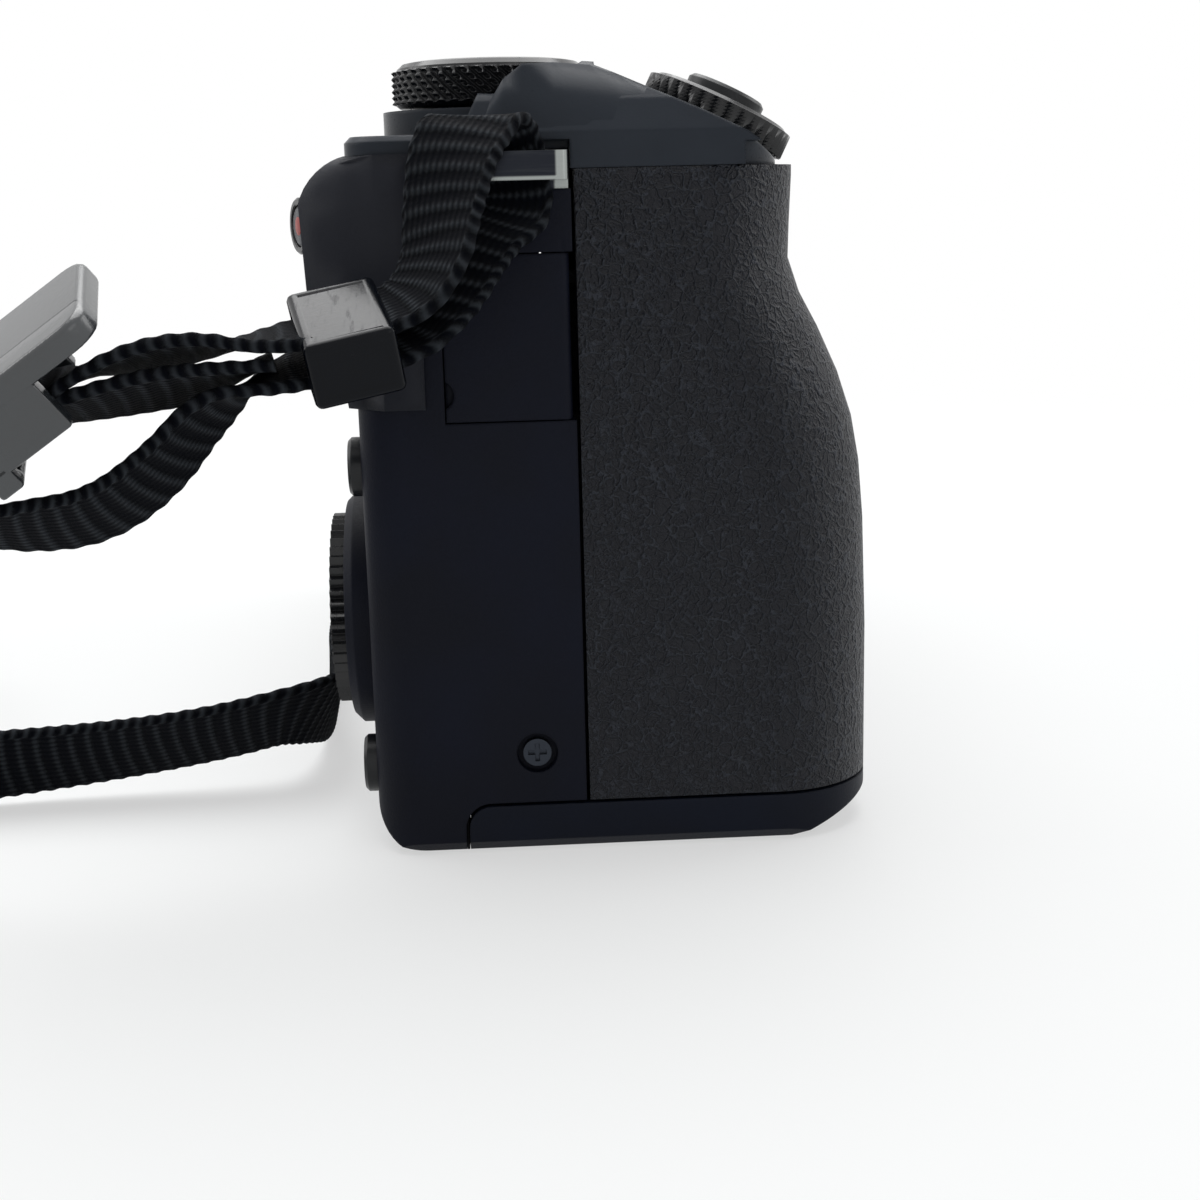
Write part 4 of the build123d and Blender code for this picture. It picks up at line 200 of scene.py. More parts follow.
def creasedRubber(name, look):
    # rubber moulded as leather: a broken net of low ridges round small sunk plates of two sizes
    paint = Paint(name, look)
    where = paint.place()
    drift = paint.node("ShaderNodeTexNoise", inputs={"Vector": where, "Scale": 0.8, "Detail": 3.0}, output=1)
    sway = (look["sway"],) * 3
    bent = paint.node("ShaderNodeVectorMath", {"operation": "MULTIPLY_ADD"}, {0: drift, 1: sway, 2: where})
    broad, near = (
        paint.node("ShaderNodeTexVoronoi", {"feature": "DISTANCE_TO_EDGE"}, {"Vector": bent, "Scale": scale})
        for scale in (look["scale"], look["scale"] * 1.8)
    )
    patches = paint.noise(where, 0.35, 3.0, 0.6)
    fine = paint.noise(where, 6.0, 3.0, 0.6)
    ridges = (1 - paint.band(broad, 0.02, 0.13)) * paint.band(patches, 0.38, 0.6, 0.35, 1.0)
    small = (1 - paint.band(near, 0.02, 0.2)) * paint.band(patches, 0.4, 0.62, 0.75, 0.2)
    height = ridges + small * 0.6 + fine * 0.35
    # painted shade and highlight: the colour follows the height, with the dark crease colour in the sunk
    # plates and creases and the lighter colour on the ridges
    paint.set("Base Color", paint.blend(paint.band(height, 0.15, 1.1), look["crease"], look["colour"]))
    paint.set("Roughness", look["roughness"] + (fine - 0.5) * 0.15)
    paint.relief(height, look["depth"])
    return paint.material


def polishedWire(name, look):
    # bright drawn wire with a painted reflection of the room: light bands at two heights and a lit end over a
    # dark shade colour, in millimetres
    paint = Paint(name, look)
    y, z = paint.axes(paint.place())[1:]
    lines = paint.noise(paint.place((1000, 30, 1000)), 8.0, 3.0, 0.6)
    light = 0
    for height in look["bands"]:
        light = light + (1 - paint.band(paint.size(z - height), *look["bandFade"]))
    light = light + (1 - paint.band(y, *look["litEndFade"]))
    paint.set("Base Color", paint.blend(light + (lines - 0.5) * 0.2, look["shade"], look["colour"]))
    paint.set("Roughness", look["roughness"] + (lines - 0.5) * 0.2)
    return paint.material


def brushedMetal(name, look):
    # metal with fine tool lines along one axis
    paint = Paint(name, look)
    scale = {"X": (30, 1000, 1000), "Y": (1000, 30, 1000), "Z": (1000, 1000, 30)}[look["lines"]]
    lines = paint.noise(paint.place(scale), look["grain"], 3.0, 0.6)
    wear = paint.noise(paint.place(), 0.3, 3.0, 0.6)
    paint.set("Base Color", paint.blend(wear, tuple(c * 0.85 for c in look["colour"]), look["colour"]))
    paint.set("Roughness", look["roughness"] + (lines - 0.5) * 0.25 + (wear - 0.5) * 0.1)
    paint.relief(lines, look["depth"])
    return paint.material


def turnedMetal(name, look):
    # metal turned on a lathe: fine rings round the centre, in millimetres
    paint = Paint(name, look)
    x, y, z = paint.axes(paint.place(shift=tuple(-c for c in look["centre"])))
    a, b = {"Y": (x, z), "Z": (x, y), "X": (y, z)}[look["axis"]]
    radius = (a * a + b * b) ** 0.5
    rings = paint.node(
        "ShaderNodeTexNoise", {"noise_dimensions": "1D"}, {"W": radius, "Scale": look["grain"], "Detail": 2.0}
    )
    wear = paint.noise(paint.place(), 0.25, 3.0, 0.6)
    paint.set("Base Color", paint.blend(wear, tuple(c * 0.88 for c in look["colour"]), look["colour"]))
    paint.set("Roughness", look["roughness"] + (rings - 0.5) * 0.3)
    paint.relief(rings, look["depth"])
    return paint.material


def glossPlastic(name, look):
    # hard moulded plastic, with faint hairlines and dust
    paint = Paint(name, look)
    where = paint.place()
    fine = paint.noise(where, look["grain"], 3.0, 0.6)
    hair = paint.band(paint.noise(paint.place((60, 1000, 400), (0.3, 0.2, 0.5)), 2.0, 2.0, 0.6), 0.55, 0.7)
    dust = paint.band(paint.noise(where, 2.2, 5.0, 0.7), 0.6, 0.78)
    light = tuple(min(1, c * 1.5 + 0.012) for c in look["colour"])
    paint.set("Base Color", paint.blend(dust * look["dust"], look["colour"], light))
    paint.set("Roughness", look["roughness"] + hair * 0.12 + dust * 0.25 * look["dust"])
    paint.relief(fine, look["depth"])
    return paint.material


def wovenWebbing(name, look):
    # narrow webbing read from its maps in millimetres: ribs across, fine yarns along, looped edges
    paint = Paint(name, look)
    along, across = paint.axes(paint.node("ShaderNodeUVMap", {"uv_map": "weave"}))[:2]
    fuzz = paint.noise(paint.place(), 5.0, 4.0, 0.75)
    bowed = along + fuzz * 0.35 + across * across * 0.02
    rib = (paint.wave(bowed, look["rib"]) * 0.5 + 0.5) ** 2.0
    yarns = paint.wave(across + fuzz * 0.25, look["yarn"]) * 0.5 + 0.5
    edge = paint.band(paint.size(across), look["edgeFrom"], look["edgeFrom"] + 0.3)
    loops = paint.wave(along + paint.size(across) * 0.8 + fuzz * 0.3, look["loops"]) * 0.5 + 0.5
    body = rib * 0.7 + yarns * (0.15 + rib * 0.55)
    height = body * (1 - edge) + loops * edge * 1.1 + fuzz * 0.45
    # painted light: the colour turns lighter where the weave stands high, on rib crests, yarns and looped
    # edges, as painted highlight, and stays dark in the valleys as painted shade
    tone = paint.blend(paint.band(height, 0.35, 1.6), look["colour"], look["crestLight"])
    paint.set("Base Color", tone)
    paint.set("Roughness", look["roughness"] - yarns * 0.12)
    paint.relief(height, look["depth"])
    paint.set("Sheen Weight", look["sheen"])
    paint.set("Sheen Roughness", 0.5)
    return paint.material


def clearGlass(name, look):
    paint = Paint(name, look)
    smear = paint.noise(paint.place(), 0.12, 4.0, 0.6)
    paint.set("Roughness", look["roughness"] + paint.band(smear, 0.55, 0.8) * 0.06)
    paint.set("Alpha", look["alpha"])
    paint.set("Coat Weight", look["coat"])
    return paint.material


finishes = {
    "case": paintedPlastic("casePaint", {
        "colour": (0.0021, 0.0031, 0.0085), "roughness": 0.55, "gloss": 0.12, "grain": 5.0, "depth": 0.00003,
        "drift": 0.25, "edge": 0.0004,
    }),
    # lighter than the case: partly the top cover's own satin finish, partly painted light from overhead
    "top": paintedPlastic("topSatinAndPaintedLight", {
        "colour": (0.026, 0.031, 0.04), "roughness": 0.3, "gloss": 0.1, "grain": 4.0, "depth": 0.000008,
        "drift": 0.1, "edge": 0.0004,
    }),
    "base": paintedPlastic("basePaint", {
        "colour": (0.0025, 0.0042, 0.0105), "roughness": 0.5, "gloss": 0.12, "grain": 5.0, "depth": 0.00002,
        "drift": 0.2, "edge": 0.0004,
    }),
    # the crease colour is painted shade in the rubber's sunk plates and creases
    "grip": creasedRubber("gripRubber", {
        "colour": (0.017, 0.0205, 0.03), "crease": (0.0012, 0.002, 0.006), "roughness": 0.42, "gloss": 0.28,
        "scale": 0.8, "sway": 1.6, "depth": 0.00055, "edge": 0.0003,
    }),
    "pad": paintedPlastic("padRubber", {
        "colour": (0.011, 0.0125, 0.019), "roughness": 0.5, "gloss": 0.2, "grain": 6.0, "depth": 0.000012,
        "drift": 0.1, "edge": 0.0022,
    }),
    "dial": glossPlastic("dialBlack", {
        "colour": (0.003, 0.0035, 0.005), "roughness": 0.2, "gloss": 0.4, "grain": 5.0, "depth": 0.000004,
        "dust": 0.3, "edge": 0.00006,
    }),
    "button": glossPlastic("buttonBlack", {
        "colour": (0.006, 0.007, 0.009), "roughness": 0.34, "gloss": 0.3, "grain": 5.0, "depth": 0.000006,
        "dust": 0.3, "edge": 0.00015,
    }),
    "screenFrame": glossPlastic("screenFrame", {
        "colour": (0.008, 0.0085, 0.01), "roughness": 0.3, "gloss": 0.4, "grain": 5.0, "depth": 0.000006,
        "dust": 0.3, "edge": 0.0003,
    }),
    "screenGlass": glossPlastic("screenGlass", {
        "colour": (0.0035, 0.004, 0.0055), "roughness": 0.04, "gloss": 0.5, "grain": 0.4, "depth": 0.000001,
        "dust": 0.15, "edge": 0.0001,
    }),
    "filter": clearGlass("filterGlass", {
        "colour": (0.35, 0.55, 0.56), "alpha": 0.3, "roughness": 0.02, "coat": 0.6,
    }),
    "mount": turnedMetal("mountSteel", {
        "colour": (0.62, 0.61, 0.59), "roughness": 0.24, "metallic": 1.0, "centre": (0, 0, 31), "axis": "Y",
        "grain": 9.0, "depth": 0.00001, "edge": 0.00015,
    }),
    "disc": turnedMetal("buttonMetal", {
        "colour": (0.055, 0.058, 0.066), "roughness": 0.36, "metallic": 1.0, "centre": (-58.4, 24.0, 54.7),
        "axis": "Y", "grain": 9.0, "depth": 0.000008, "edge": 0.00015,
    }),
    "plate": brushedMetal("plateSteel", {
        "colour": (0.42, 0.43, 0.45), "roughness": 0.38, "metallic": 1.0, "lines": "X", "grain": 6.0,
        "depth": 0.00001, "edge": 0.00015,
    }),
    # the bands and the lit end are painted reflection, and the shade colour is painted dark between them
    "lug": polishedWire("lugSteel", {
        "colour": (0.3, 0.32, 0.31), "shade": (0.02, 0.022, 0.028), "roughness": 0.2, "metallic": 1.0,
        "bands": (58.15, 60.5), "bandFade": (0.05, 0.24), "litEndFade": (2.1, 2.35), "edge": 0.00018,
    }),
    "screw": brushedMetal("screwSteel", {
        "colour": (0.035, 0.04, 0.05), "roughness": 0.34, "metallic": 1.0, "lines": "Z", "grain": 6.0,
        "depth": 0.00001, "edge": 0.0001,
    }),
    "brass": turnedMetal("socketBrass", {
        "colour": (0.62, 0.52, 0.33), "roughness": 0.28, "metallic": 1.0, "centre": (0, 0, 0), "axis": "Z",
        "grain": 9.0, "depth": 0.00001,
    }),
    "chassis": paintedPlastic("castAlloy", {
        "colour": (0.16, 0.165, 0.17), "roughness": 0.5, "gloss": 0.4, "grain": 3.0, "depth": 0.00003,
        "drift": 0.15,
    }),
    "inner": paintedPlastic("innerBlack", {
        "colour": (0.003, 0.003, 0.004), "roughness": 0.8, "gloss": 0.2, "grain": 4.0, "depth": 0.00003,
        "drift": 0.15,
    }),
    "board": paintedPlastic("boardGreen", {
        "colour": (0.012, 0.07, 0.032), "roughness": 0.4, "grain": 1.5, "depth": 0.00002, "drift": 0.2,
    }),
    "sensor": glossPlastic("sensorFace", {
        "colour": (0.025, 0.045, 0.06), "roughness": 0.08, "grain": 3.0, "depth": 0.000001, "dust": 0.1,
    }),
    "battery": paintedPlastic("batteryWrap", {
        "colour": (0.02, 0.021, 0.024), "roughness": 0.45, "grain": 4.0, "depth": 0.00001, "drift": 0.1,
    }),
    "card": paintedPlastic("cardShell", {
        "colour": (0.01, 0.014, 0.025), "roughness": 0.5, "grain": 4.0, "depth": 0.00001, "drift": 0.1,
    }),
    "sleeve": glossPlastic("capacitorSleeve", {
        "colour": (0.006, 0.007, 0.012), "roughness": 0.25, "grain": 4.0, "depth": 0.000004, "dust": 0.2,
    }),
    "window": clearGlass("flashWindow", {
        "colour": (0.75, 0.78, 0.8), "alpha": 0.45, "roughness": 0.12, "coat": 0.3,
    }),
    "curtain": brushedMetal("curtainLeaf", {
        "colour": (0.02, 0.02, 0.022), "roughness": 0.4, "metallic": 1.0, "lines": "X", "grain": 6.0,
        "depth": 0.00001,
    }),
    # the lighter second colour is a painted highlight on the weave's crests
    "webbing": wovenWebbing("strapWebbing", {
        "colour": (0.0006, 0.0011, 0.0028), "crestLight": (0.03, 0.034, 0.04), "roughness": 0.85, "gloss": 0.05,
        "rib": 1.65, "loops": 1.2, "yarn": 0.6, "edgeFrom": 3.45, "depth": 0.0003, "sheen": 0.01,
        "edge": 0.00005,
    }),
    "keeper": glossPlastic("keeperPlastic", {
        "colour": (0.0016, 0.0024, 0.0045), "roughness": 0.16, "gloss": 0.13, "grain": 2.2, "depth": 0.000008,
        "dust": 0.25, "edge": 0.00012,
    }),
    "buckle": paintedPlastic("bucklePlastic", {
        "colour": (0.03, 0.034, 0.038), "roughness": 0.22, "gloss": 0.8, "grain": 3.2, "depth": 0.00002,
        "drift": 0.15, "edge": 0.00015,
    }),
    "recordRed": glossPlastic("recordRed", {
        "colour": (0.42, 0.06, 0.05), "roughness": 0.4, "gloss": 0.3, "grain": 4.0, "depth": 0.000004,
        "dust": 0.2, "edge": 0.00008,
    }),
}
print("finishes made:", len(finishes))

nodeFinish = {
    "case": ["rear_cover", "front_cover", "terminal_cover"],
    "top": ["top_cover", "flash_head", "flash_arm"],
    "base": ["base_plate", "battery_door"],
    "grip": ["grip_rubber"],
    "pad": ["thumb_rest_pad"],
    "dial": ["exposure_dial", "mode_dial", "main_dial", "rear_wheel"],
    "button": [
        "magnify_button", "menu_button", "playback_button", "info_button", "movie_button", "set_button",
        "power_button", "lens_release_button", "flash_switch", "battery_door_latch", "rocker_plate",
        "shutter_button",
    ],
    "screenFrame": ["lcd_frame"],
    "screenGlass": ["lcd_glass"],
    "filter": ["sensor_filter_glass"],
    "mount": ["lens_mount_ring", "lens_lock_pin"],
    "plate": ["lcd_tilt_plate", "gimbal_ring", "hot_shoe"],
    "lug": ["strap_lug_grip", "strap_lug_far", "hot_shoe_spring"],
    "screw": ["case_screws", "mount_screws"],
    "brass": ["tripod_socket"],
    "chassis": ["chassis", "sensor_holder"],
    "inner": ["light_baffle", "shutter_plate", "battery_box", "mount_contact_block", "port_block"],
    "board": ["main_circuit_board"],
    "sensor": ["image_sensor"],
    "battery": ["battery"],
    "card": ["memory_card"],
    "sleeve": ["flash_capacitor"],
    "window": ["flash_lens"],
    "curtain": ["front_curtain", "rear_curtain"],
    "keeper": ["strap_keepers"],
    "buckle": ["strap_buckles"],
    "webbing": ["strap_coil", "strap_grip_webbing", "strap_far_webbing"],
}


def dress(piece, finish):
    if not piece.material_slots:
        piece.data.materials.append(finishes[finish])
    for spot in piece.material_slots:
        spot.material = finishes[finish]


for finish, names in nodeFinish.items():
    for name in names:
        dress(nodes[name], finish)
missing = set(nodes) - {n for names in nodeFinish.values() for n in names}
print("nodes without a finish:", sorted(missing))

# each stop is a point of the route and which way the webbing's camera-side edge points there
gripRoute = [
    ((-0.0548, 0.095, 0.00425), (0, 0, -1)),
    ((-0.0548, 0.0855, 0.00425), (0.1, 0, -1)),
    ((-0.0592, 0.076, 0.011), (0, -0.4, -0.9)),
    ((-0.0656, 0.0678, 0.0194), (-0.35, -0.5, -0.8)),
    ((-0.0726, 0.061, 0.0278), (-0.65, -0.45, -0.6)),
    ((-0.0772, 0.0564, 0.034), (-0.8, -0.3, -0.45)),
    ((-0.079, 0.051, 0.0389), (-0.9, -0.2, -0.32)),
    ((-0.079, 0.043, 0.0432), (-0.94, -0.17, -0.29)),
    ((-0.0784, 0.036, 0.0454), (-0.93, -0.15, 0.25)),
    ((-0.0777, 0.0304, 0.0463), (-0.93, -0.15, 0.3)),
    ((-0.0769, 0.025, 0.0464), (-0.926, -0.2, -0.08)),
    ((-0.0754, 0.0146, 0.0484), (-0.926, -0.25, -0.3)),
    ((-0.0738, 0.0119, 0.0518), (-0.84, -0.5, -0.2)),
    ((-0.0722, 0.0113, 0.0558), (-0.7, -0.7, -0.1)),
    ((-0.0708, 0.0104, 0.0602), (-0.55, -0.83, -0.08)),
    ((-0.0684, 0.0086, 0.0632), (-0.2, -0.98, 0)),
    ((-0.06545, 0.0074, 0.06115), (0, -1, 0)),
    ((-0.06545, 0.0066, 0.0572), (0, -1, 0)),
    ((-0.0673, 0.0068, 0.0552), (-0.1, -1, -0.05)),
    ((-0.0703, 0.0096, 0.0536), (-0.2, -0.96, -0.1)),
    ((-0.0728, 0.0122, 0.0494), (-0.45, -0.85, -0.25)),
    ((-0.0744, 0.0146, 0.0459), (-0.9, -0.35, -0.3)),
    ((-0.0759, 0.0247, 0.0438), (-0.926, -0.2, -0.2)),
    ((-0.0762, 0.0295, 0.0416), (-0.85, -0.05, 0.5)),
    ((-0.0763, 0.0338, 0.0366), (-0.82, 0.05, 0.57)),
    ((-0.0766, 0.0386, 0.0334), (-0.8, -0.05, 0.6)),
    ((-0.077, 0.044, 0.0328), (-0.8, -0.2, 0.57)),
    ((-0.0776, 0.0478, 0.033), (-0.91, -0.35, 0.4)),
    ((-0.0782, 0.0503, 0.0342), (-0.91, -0.47, 0.28)),
    ((-0.0787, 0.0507, 0.0364), (-0.91, -0.52, 0.15)),
    ((-0.0789, 0.049, 0.0379), (-0.93, -0.4, 0.0)),
    ((-0.079, 0.0462, 0.0396), (-0.95, -0.25, 0.0)),
    ((-0.0789, 0.0418, 0.0417), (-0.94, -0.2, 0.25)),
    ((-0.078, 0.0352, 0.0429), (-0.92, -0.2, 0.42)),
    ((-0.0772, 0.0298, 0.0436), (-0.92, -0.2, 0.4)),
    ((-0.0765, 0.0245, 0.045), (-0.93, -0.18, 0.0)),
]
farRoute = [
    ((0.05035, 0.0149, 0.022), (0, -1, 0)),
    ((0.05045, 0.0124, 0.032), (0, -1, -0.2)),
    ((0.0502, 0.009, 0.047), (0, -1, -0.2)),
    ((0.0497, 0.0076, 0.054), (0, -1, 0)),
    ((0.04735, 0.0072, 0.0572), (0, -1, 0)),
    ((0.04735, 0.0068, 0.06115), (0, -1, 0)),
    ((0.04995, 0.0068, 0.06115), (0, -1, 0)),
    ((0.0516, 0.0073, 0.0576), (0, -1, 0)),
    ((0.0528, 0.0084, 0.0516), (0, -1, -0.1)),
    ((0.053, 0.0114, 0.0366), (0, -1, -0.2)),
    ((0.0531, 0.014, 0.025), (0, -1, -0.25)),
    ((0.0529, 0.0168, 0.0166), (0, -0.9, -0.5)),
    ((0.0516, 0.0204, 0.0098), (0, -0.7, -0.8)),
    ((0.0466, 0.0248, 0.0056), (0, -0.3, -1)),
    ((0.038, 0.0272, 0.0045), (0, 0, -1)),
    ((0.024, 0.027, 0.0043), (0, 0, -1)),
    ((0.004, 0.0282, 0.0043), (0, 0, -1)),
    ((-0.016, 0.0274, 0.0043), (0, 0, -1)),
    ((-0.029, 0.0262, 0.0044), (0, 0.2, -1)),
    ((-0.0384, 0.0258, 0.0066), (0.1, 0.5, -0.9)),
    ((-0.0442, 0.0286, 0.0076), (0.5, 0.3, -0.8)),
    ((-0.046, 0.036, 0.0064), (0.62, 0, -0.78)),
    ((-0.0464, 0.046, 0.0052), (0.56, 0, -0.83)),
    ((-0.0474, 0.059, 0.0044), (0.4, 0, -0.9)),
    ((-0.0504, 0.074, 0.0043), (0.15, 0, -1)),
    ((-0.0514, 0.086, 0.00425), (0, 0, -1)),
    ((-0.0514, 0.095, 0.00425), (0, 0, -1)),
]
# the middle stretch, put away behind the camera: half turns about two centres, in to the eye and out again
coilShape = {
    "centre": (-0.022, 0.098, 0.00425),
    "shift": 0.0017,
    "outermost": 0.0311,
    "pitch": 0.0034,
    "turns": 7,
    "lead": 0.003,
    "stops": 8,
    "fullness": 1.019,
    "eye": 0.0045,
}
# the ribbon's cross-section, in shares of half its width and half its thickness
ribbonEdge = [
    (1, 0), (0.985, 0.6), (0.93, 1), (0.8, 1), (0.5, 1), (0.2, 1),
    (-0.2, 1), (-0.5, 1), (-0.8, 1), (-0.93, 1), (-0.985, 0.6), (-1, 0),
    (-0.985, -0.6), (-0.93, -1), (-0.8, -1), (-0.5, -1), (-0.2, -1),
    (0.2, -1), (0.5, -1), (0.8, -1), (0.93, -1), (0.985, -0.6),
]
webbing = {
    "width": 0.0082, "thick": 0.00095, "rib": 0.00165, "ribRise": 0.00005, "loop": 0.00009,
    "step": 0.000275, "coilStep": 0.00041, "rail": 0.004, "pathPoints": 300,
}


def splineLine(points):
    # the smooth line of a NURBS spline with these control points
    curve = bpy.data.curves.new("line", "CURVE")
    curve.dimensions = "3D"
    curve.resolution_u = 16
    spline = curve.splines.new("NURBS")
    spline.points.add(len(points) - 1)
    for knot, place in zip(spline.points, points):
        knot.co = (*place, 1)
    spline.order_u = 3
    spline.use_endpoint_u = True
    holder = bpy.data.objects.new("line", curve)
    mesh = bpy.data.meshes.new_from_object(holder)
    line = [v.co.copy() for v in mesh.vertices]
    bpy.data.objects.remove(holder)
    bpy.data.curves.remove(curve)
    bpy.data.meshes.remove(mesh)
    return line


def evenSteps(line, rails, step):
    # the line again at even steps, with the second line read at the same places
    lengths = [0]
    for a, b in zip(line, line[1:]):
        lengths.append(lengths[-1] + (b - a).length)
    count = max(2, round(lengths[-1] / step))
    spots, sides, reach, at = [], [], [], 0
    for i in range(count + 1):
        want = lengths[-1] * i / count
        while at < len(line) - 2 and lengths[at + 1] < want:
            at += 1
        share = (want - lengths[at]) / max(lengths[at + 1] - lengths[at], 1e-9)
        spots.append(line[at].lerp(line[at + 1], share))
        sides.append(rails[at].lerp(rails[at + 1], share))
        reach.append(want)
    return spots, sides, reach


def finishPiece(name, bm, finish, smooth=True):
    bmesh.ops.recalc_face_normals(bm, faces=bm.faces)
    for face in bm.faces:
        face.smooth = smooth
    mesh = bpy.data.meshes.new(name)
    bm.to_mesh(mesh)
    bm.free()
    piece = bpy.data.objects.new(name, mesh)
    bpy.context.scene.collection.objects.link(piece)
    dress(piece, finish)
    return piece


def makeRibbon(name, stops, w):
    # webbing swept along its route: a grid rolled into the cross-section, with ribs and looped edges
    line = splineLine([Vector(p) for p, side in stops])
    rails = splineLine([Vector(p) + Vector(side).normalized() * w["rail"] for p, side in stops])
    spots, sides, reach = evenSteps(line, rails, w["step"])
    around = len(ribbonEdge)
    bm = bmesh.new()
    bmesh.ops.create_grid(bm, x_segments=len(spots) - 1, y_segments=around, size=1.0)
    weave = bm.loops.layers.uv.new("weave")
    for v in bm.verts:
        i = round((v.co.x + 1) / 2 * (len(spots) - 1))
        j = round((v.co.y + 1) / 2 * around)
        v.index = i * (around + 1) + j
    for face in bm.faces:
        for loop in face.loops:
            i, j = divmod(loop.vert.index, around + 1)
            loop[weave].uv = (reach[i] * 1000, ribbonEdge[j % around][0] * w["width"] * 500)
    for v in bm.verts:
        i, j = divmod(v.index, around + 1)
        ahead = (spots[min(i + 1, len(spots) - 1)] - spots[max(i - 1, 0)]).normalized()
        side = sides[i] - spots[i]
        side = (side - ahead * side.dot(ahead)).normalized()
        up = side.cross(ahead)
        a, b = ribbonEdge[j % around]
        turn = 2 * pi * reach[i] / w["rib"]
        edge = abs(a) ** 12
        across = a * (w["width"] / 2 + w["loop"] * edge * (0.5 + sin(turn + 1.2)))
        lift = b * (w["thick"] / 2 + w["ribRise"] * sin(turn) * (1 - edge) + w["loop"] * edge * 0.5)
        v.co = spots[i] + side * across + up * (lift + w["loop"] * edge * 0.8 * sin(turn - 0.6))
    bmesh.ops.remove_doubles(bm, verts=bm.verts, dist=1e-6)
    bmesh.ops.holes_fill(bm, edges=[e for e in bm.edges if e.is_boundary], sides=0)
    return finishPiece(name, bm, "webbing"), spots, reach[-1]


def coilStops(c):
    # from the outer lead in to the eye, an S through it, and the other strand out between the first turns
    cx, cy, cz = c["centre"]
    down = (0, 0, -1)
    stops = [((cx - c["outermost"] - c["shift"], cy - c["lead"], cz), down)]

    def halfTurn(shift, radius, upper, start):
        # from local x = shift + start * radius round to the other end
        for k in range(c["stops"]):
            turn = pi * (k + 0.5) / c["stops"]
            reach = radius * c["fullness"]
            x = shift + start * reach * cos(turn)
            y = (1 if upper else -1) * reach * sin(turn)
            stops.append(((cx - x, cy + y, cz), down))

    radii = [c["outermost"] - c["pitch"] * k for k in range(c["turns"])]
    for k, radius in enumerate(radii):
        upper = k % 2 == 0
        halfTurn(c["shift"] if upper else -c["shift"], radius, upper, 1 if upper else -1)
    halfTurn(-c["eye"], c["eye"], False, -1)
    halfTurn(c["eye"], c["eye"], True, -1)
    for k, radius in enumerate(reversed(radii[1:])):
        upper = k % 2 == 1
        halfTurn(c["shift"] if upper else -c["shift"], radius, upper, -1 if upper else 1)
    stops.append(((cx - c["outermost"] + c["shift"], cy - c["lead"], cz), down))
    return stops


def cordPath(line):
    # the points that a cord follows, thinned out, with its last one kept
    return [tuple(p) for p in line[:: max(1, len(line) // webbing["pathPoints"])]] + [tuple(line[-1])]


def strapFrame(place, along, outward):
    # x across the webbing, y towards its inner side, z along it
    run = Vector(along).normalized()
    across = run.cross(Vector(outward)).normalized()
    turn = Matrix((across, run.cross(across), run)).transposed().to_4x4()
    return Matrix.Translation(Vector(place)) @ turn


def toMetres(bm):
    bmesh.ops.scale(bm, vec=(0.001, 0.001, 0.001), verts=bm.verts)


def soften(bm, edges, width, segments, clamp=False):
    bmesh.ops.bevel(
        bm, geom=edges, offset=width, affect="EDGES", segments=segments, profile=0.5, material=-1,
        clamp_overlap=clamp,
    )


def addBlock(bm, low, high, edge):
    # a block with softened edges, in millimetres
    made = bmesh.ops.create_cube(bm, size=1.0)["verts"]
    size = [b - a for a, b in zip(low, high)]
    middle = [(a + b) / 2 for a, b in zip(low, high)]
    bmesh.ops.scale(bm, vec=size, verts=made)
    bmesh.ops.translate(bm, vec=middle, verts=made)
    rims = list({e for v in made for e in v.link_edges})
    soften(bm, rims, edge, 2, clamp=True)


def flatten(piece):
    # large faces stay flat beside their softened edges
    weighted = piece.modifiers.new("flat", "WEIGHTED_NORMAL")
    weighted.keep_sharp = True
    weighted.weight = 90


keeper = {
    "width": 11.0, "height": 5.3, "length": 7.0, "wall": 0.55, "corner": 0.55, "rim": 0.42, "lip": 0.1,
    "sink": 0.1, "edge": 0.09, "sharp": 1.2,
    "grip": ((-0.0756, 0.01905, 0.0462), (0.145, -0.97, 0.19), (-0.347, 0.13, 0.929)),
    "far": ((0.0516, 0.0099, 0.0441), (0.0, 0.2, -0.98), (1.0, 0.0, 0.0)),
}
buckle = {
    "width": 13.4, "length": 14.0, "plate": 2.0, "corner": 2.1, "rim": 0.6, "edge": 0.3,
    "crease": -2.9, "groove": 0.14, "grooveHalf": 0.14,
    "leg": (1.9, 5.1, 8.0), "bar": (5.6, 6.5, 2.2), "legTop": 0.5, "joint": 0.8,
    "inset": 0.1, "barInset": 0.4,
    "grip": ((-0.0793, 0.0429, 0.0466), (0.03, 0.82, -0.57), (-0.33, 0.53, 0.78)),
    "far": ((0.0552, 0.0133, 0.028), (0.0, 0.22, -0.975), (1.0, 0.0, 0.0)),
}


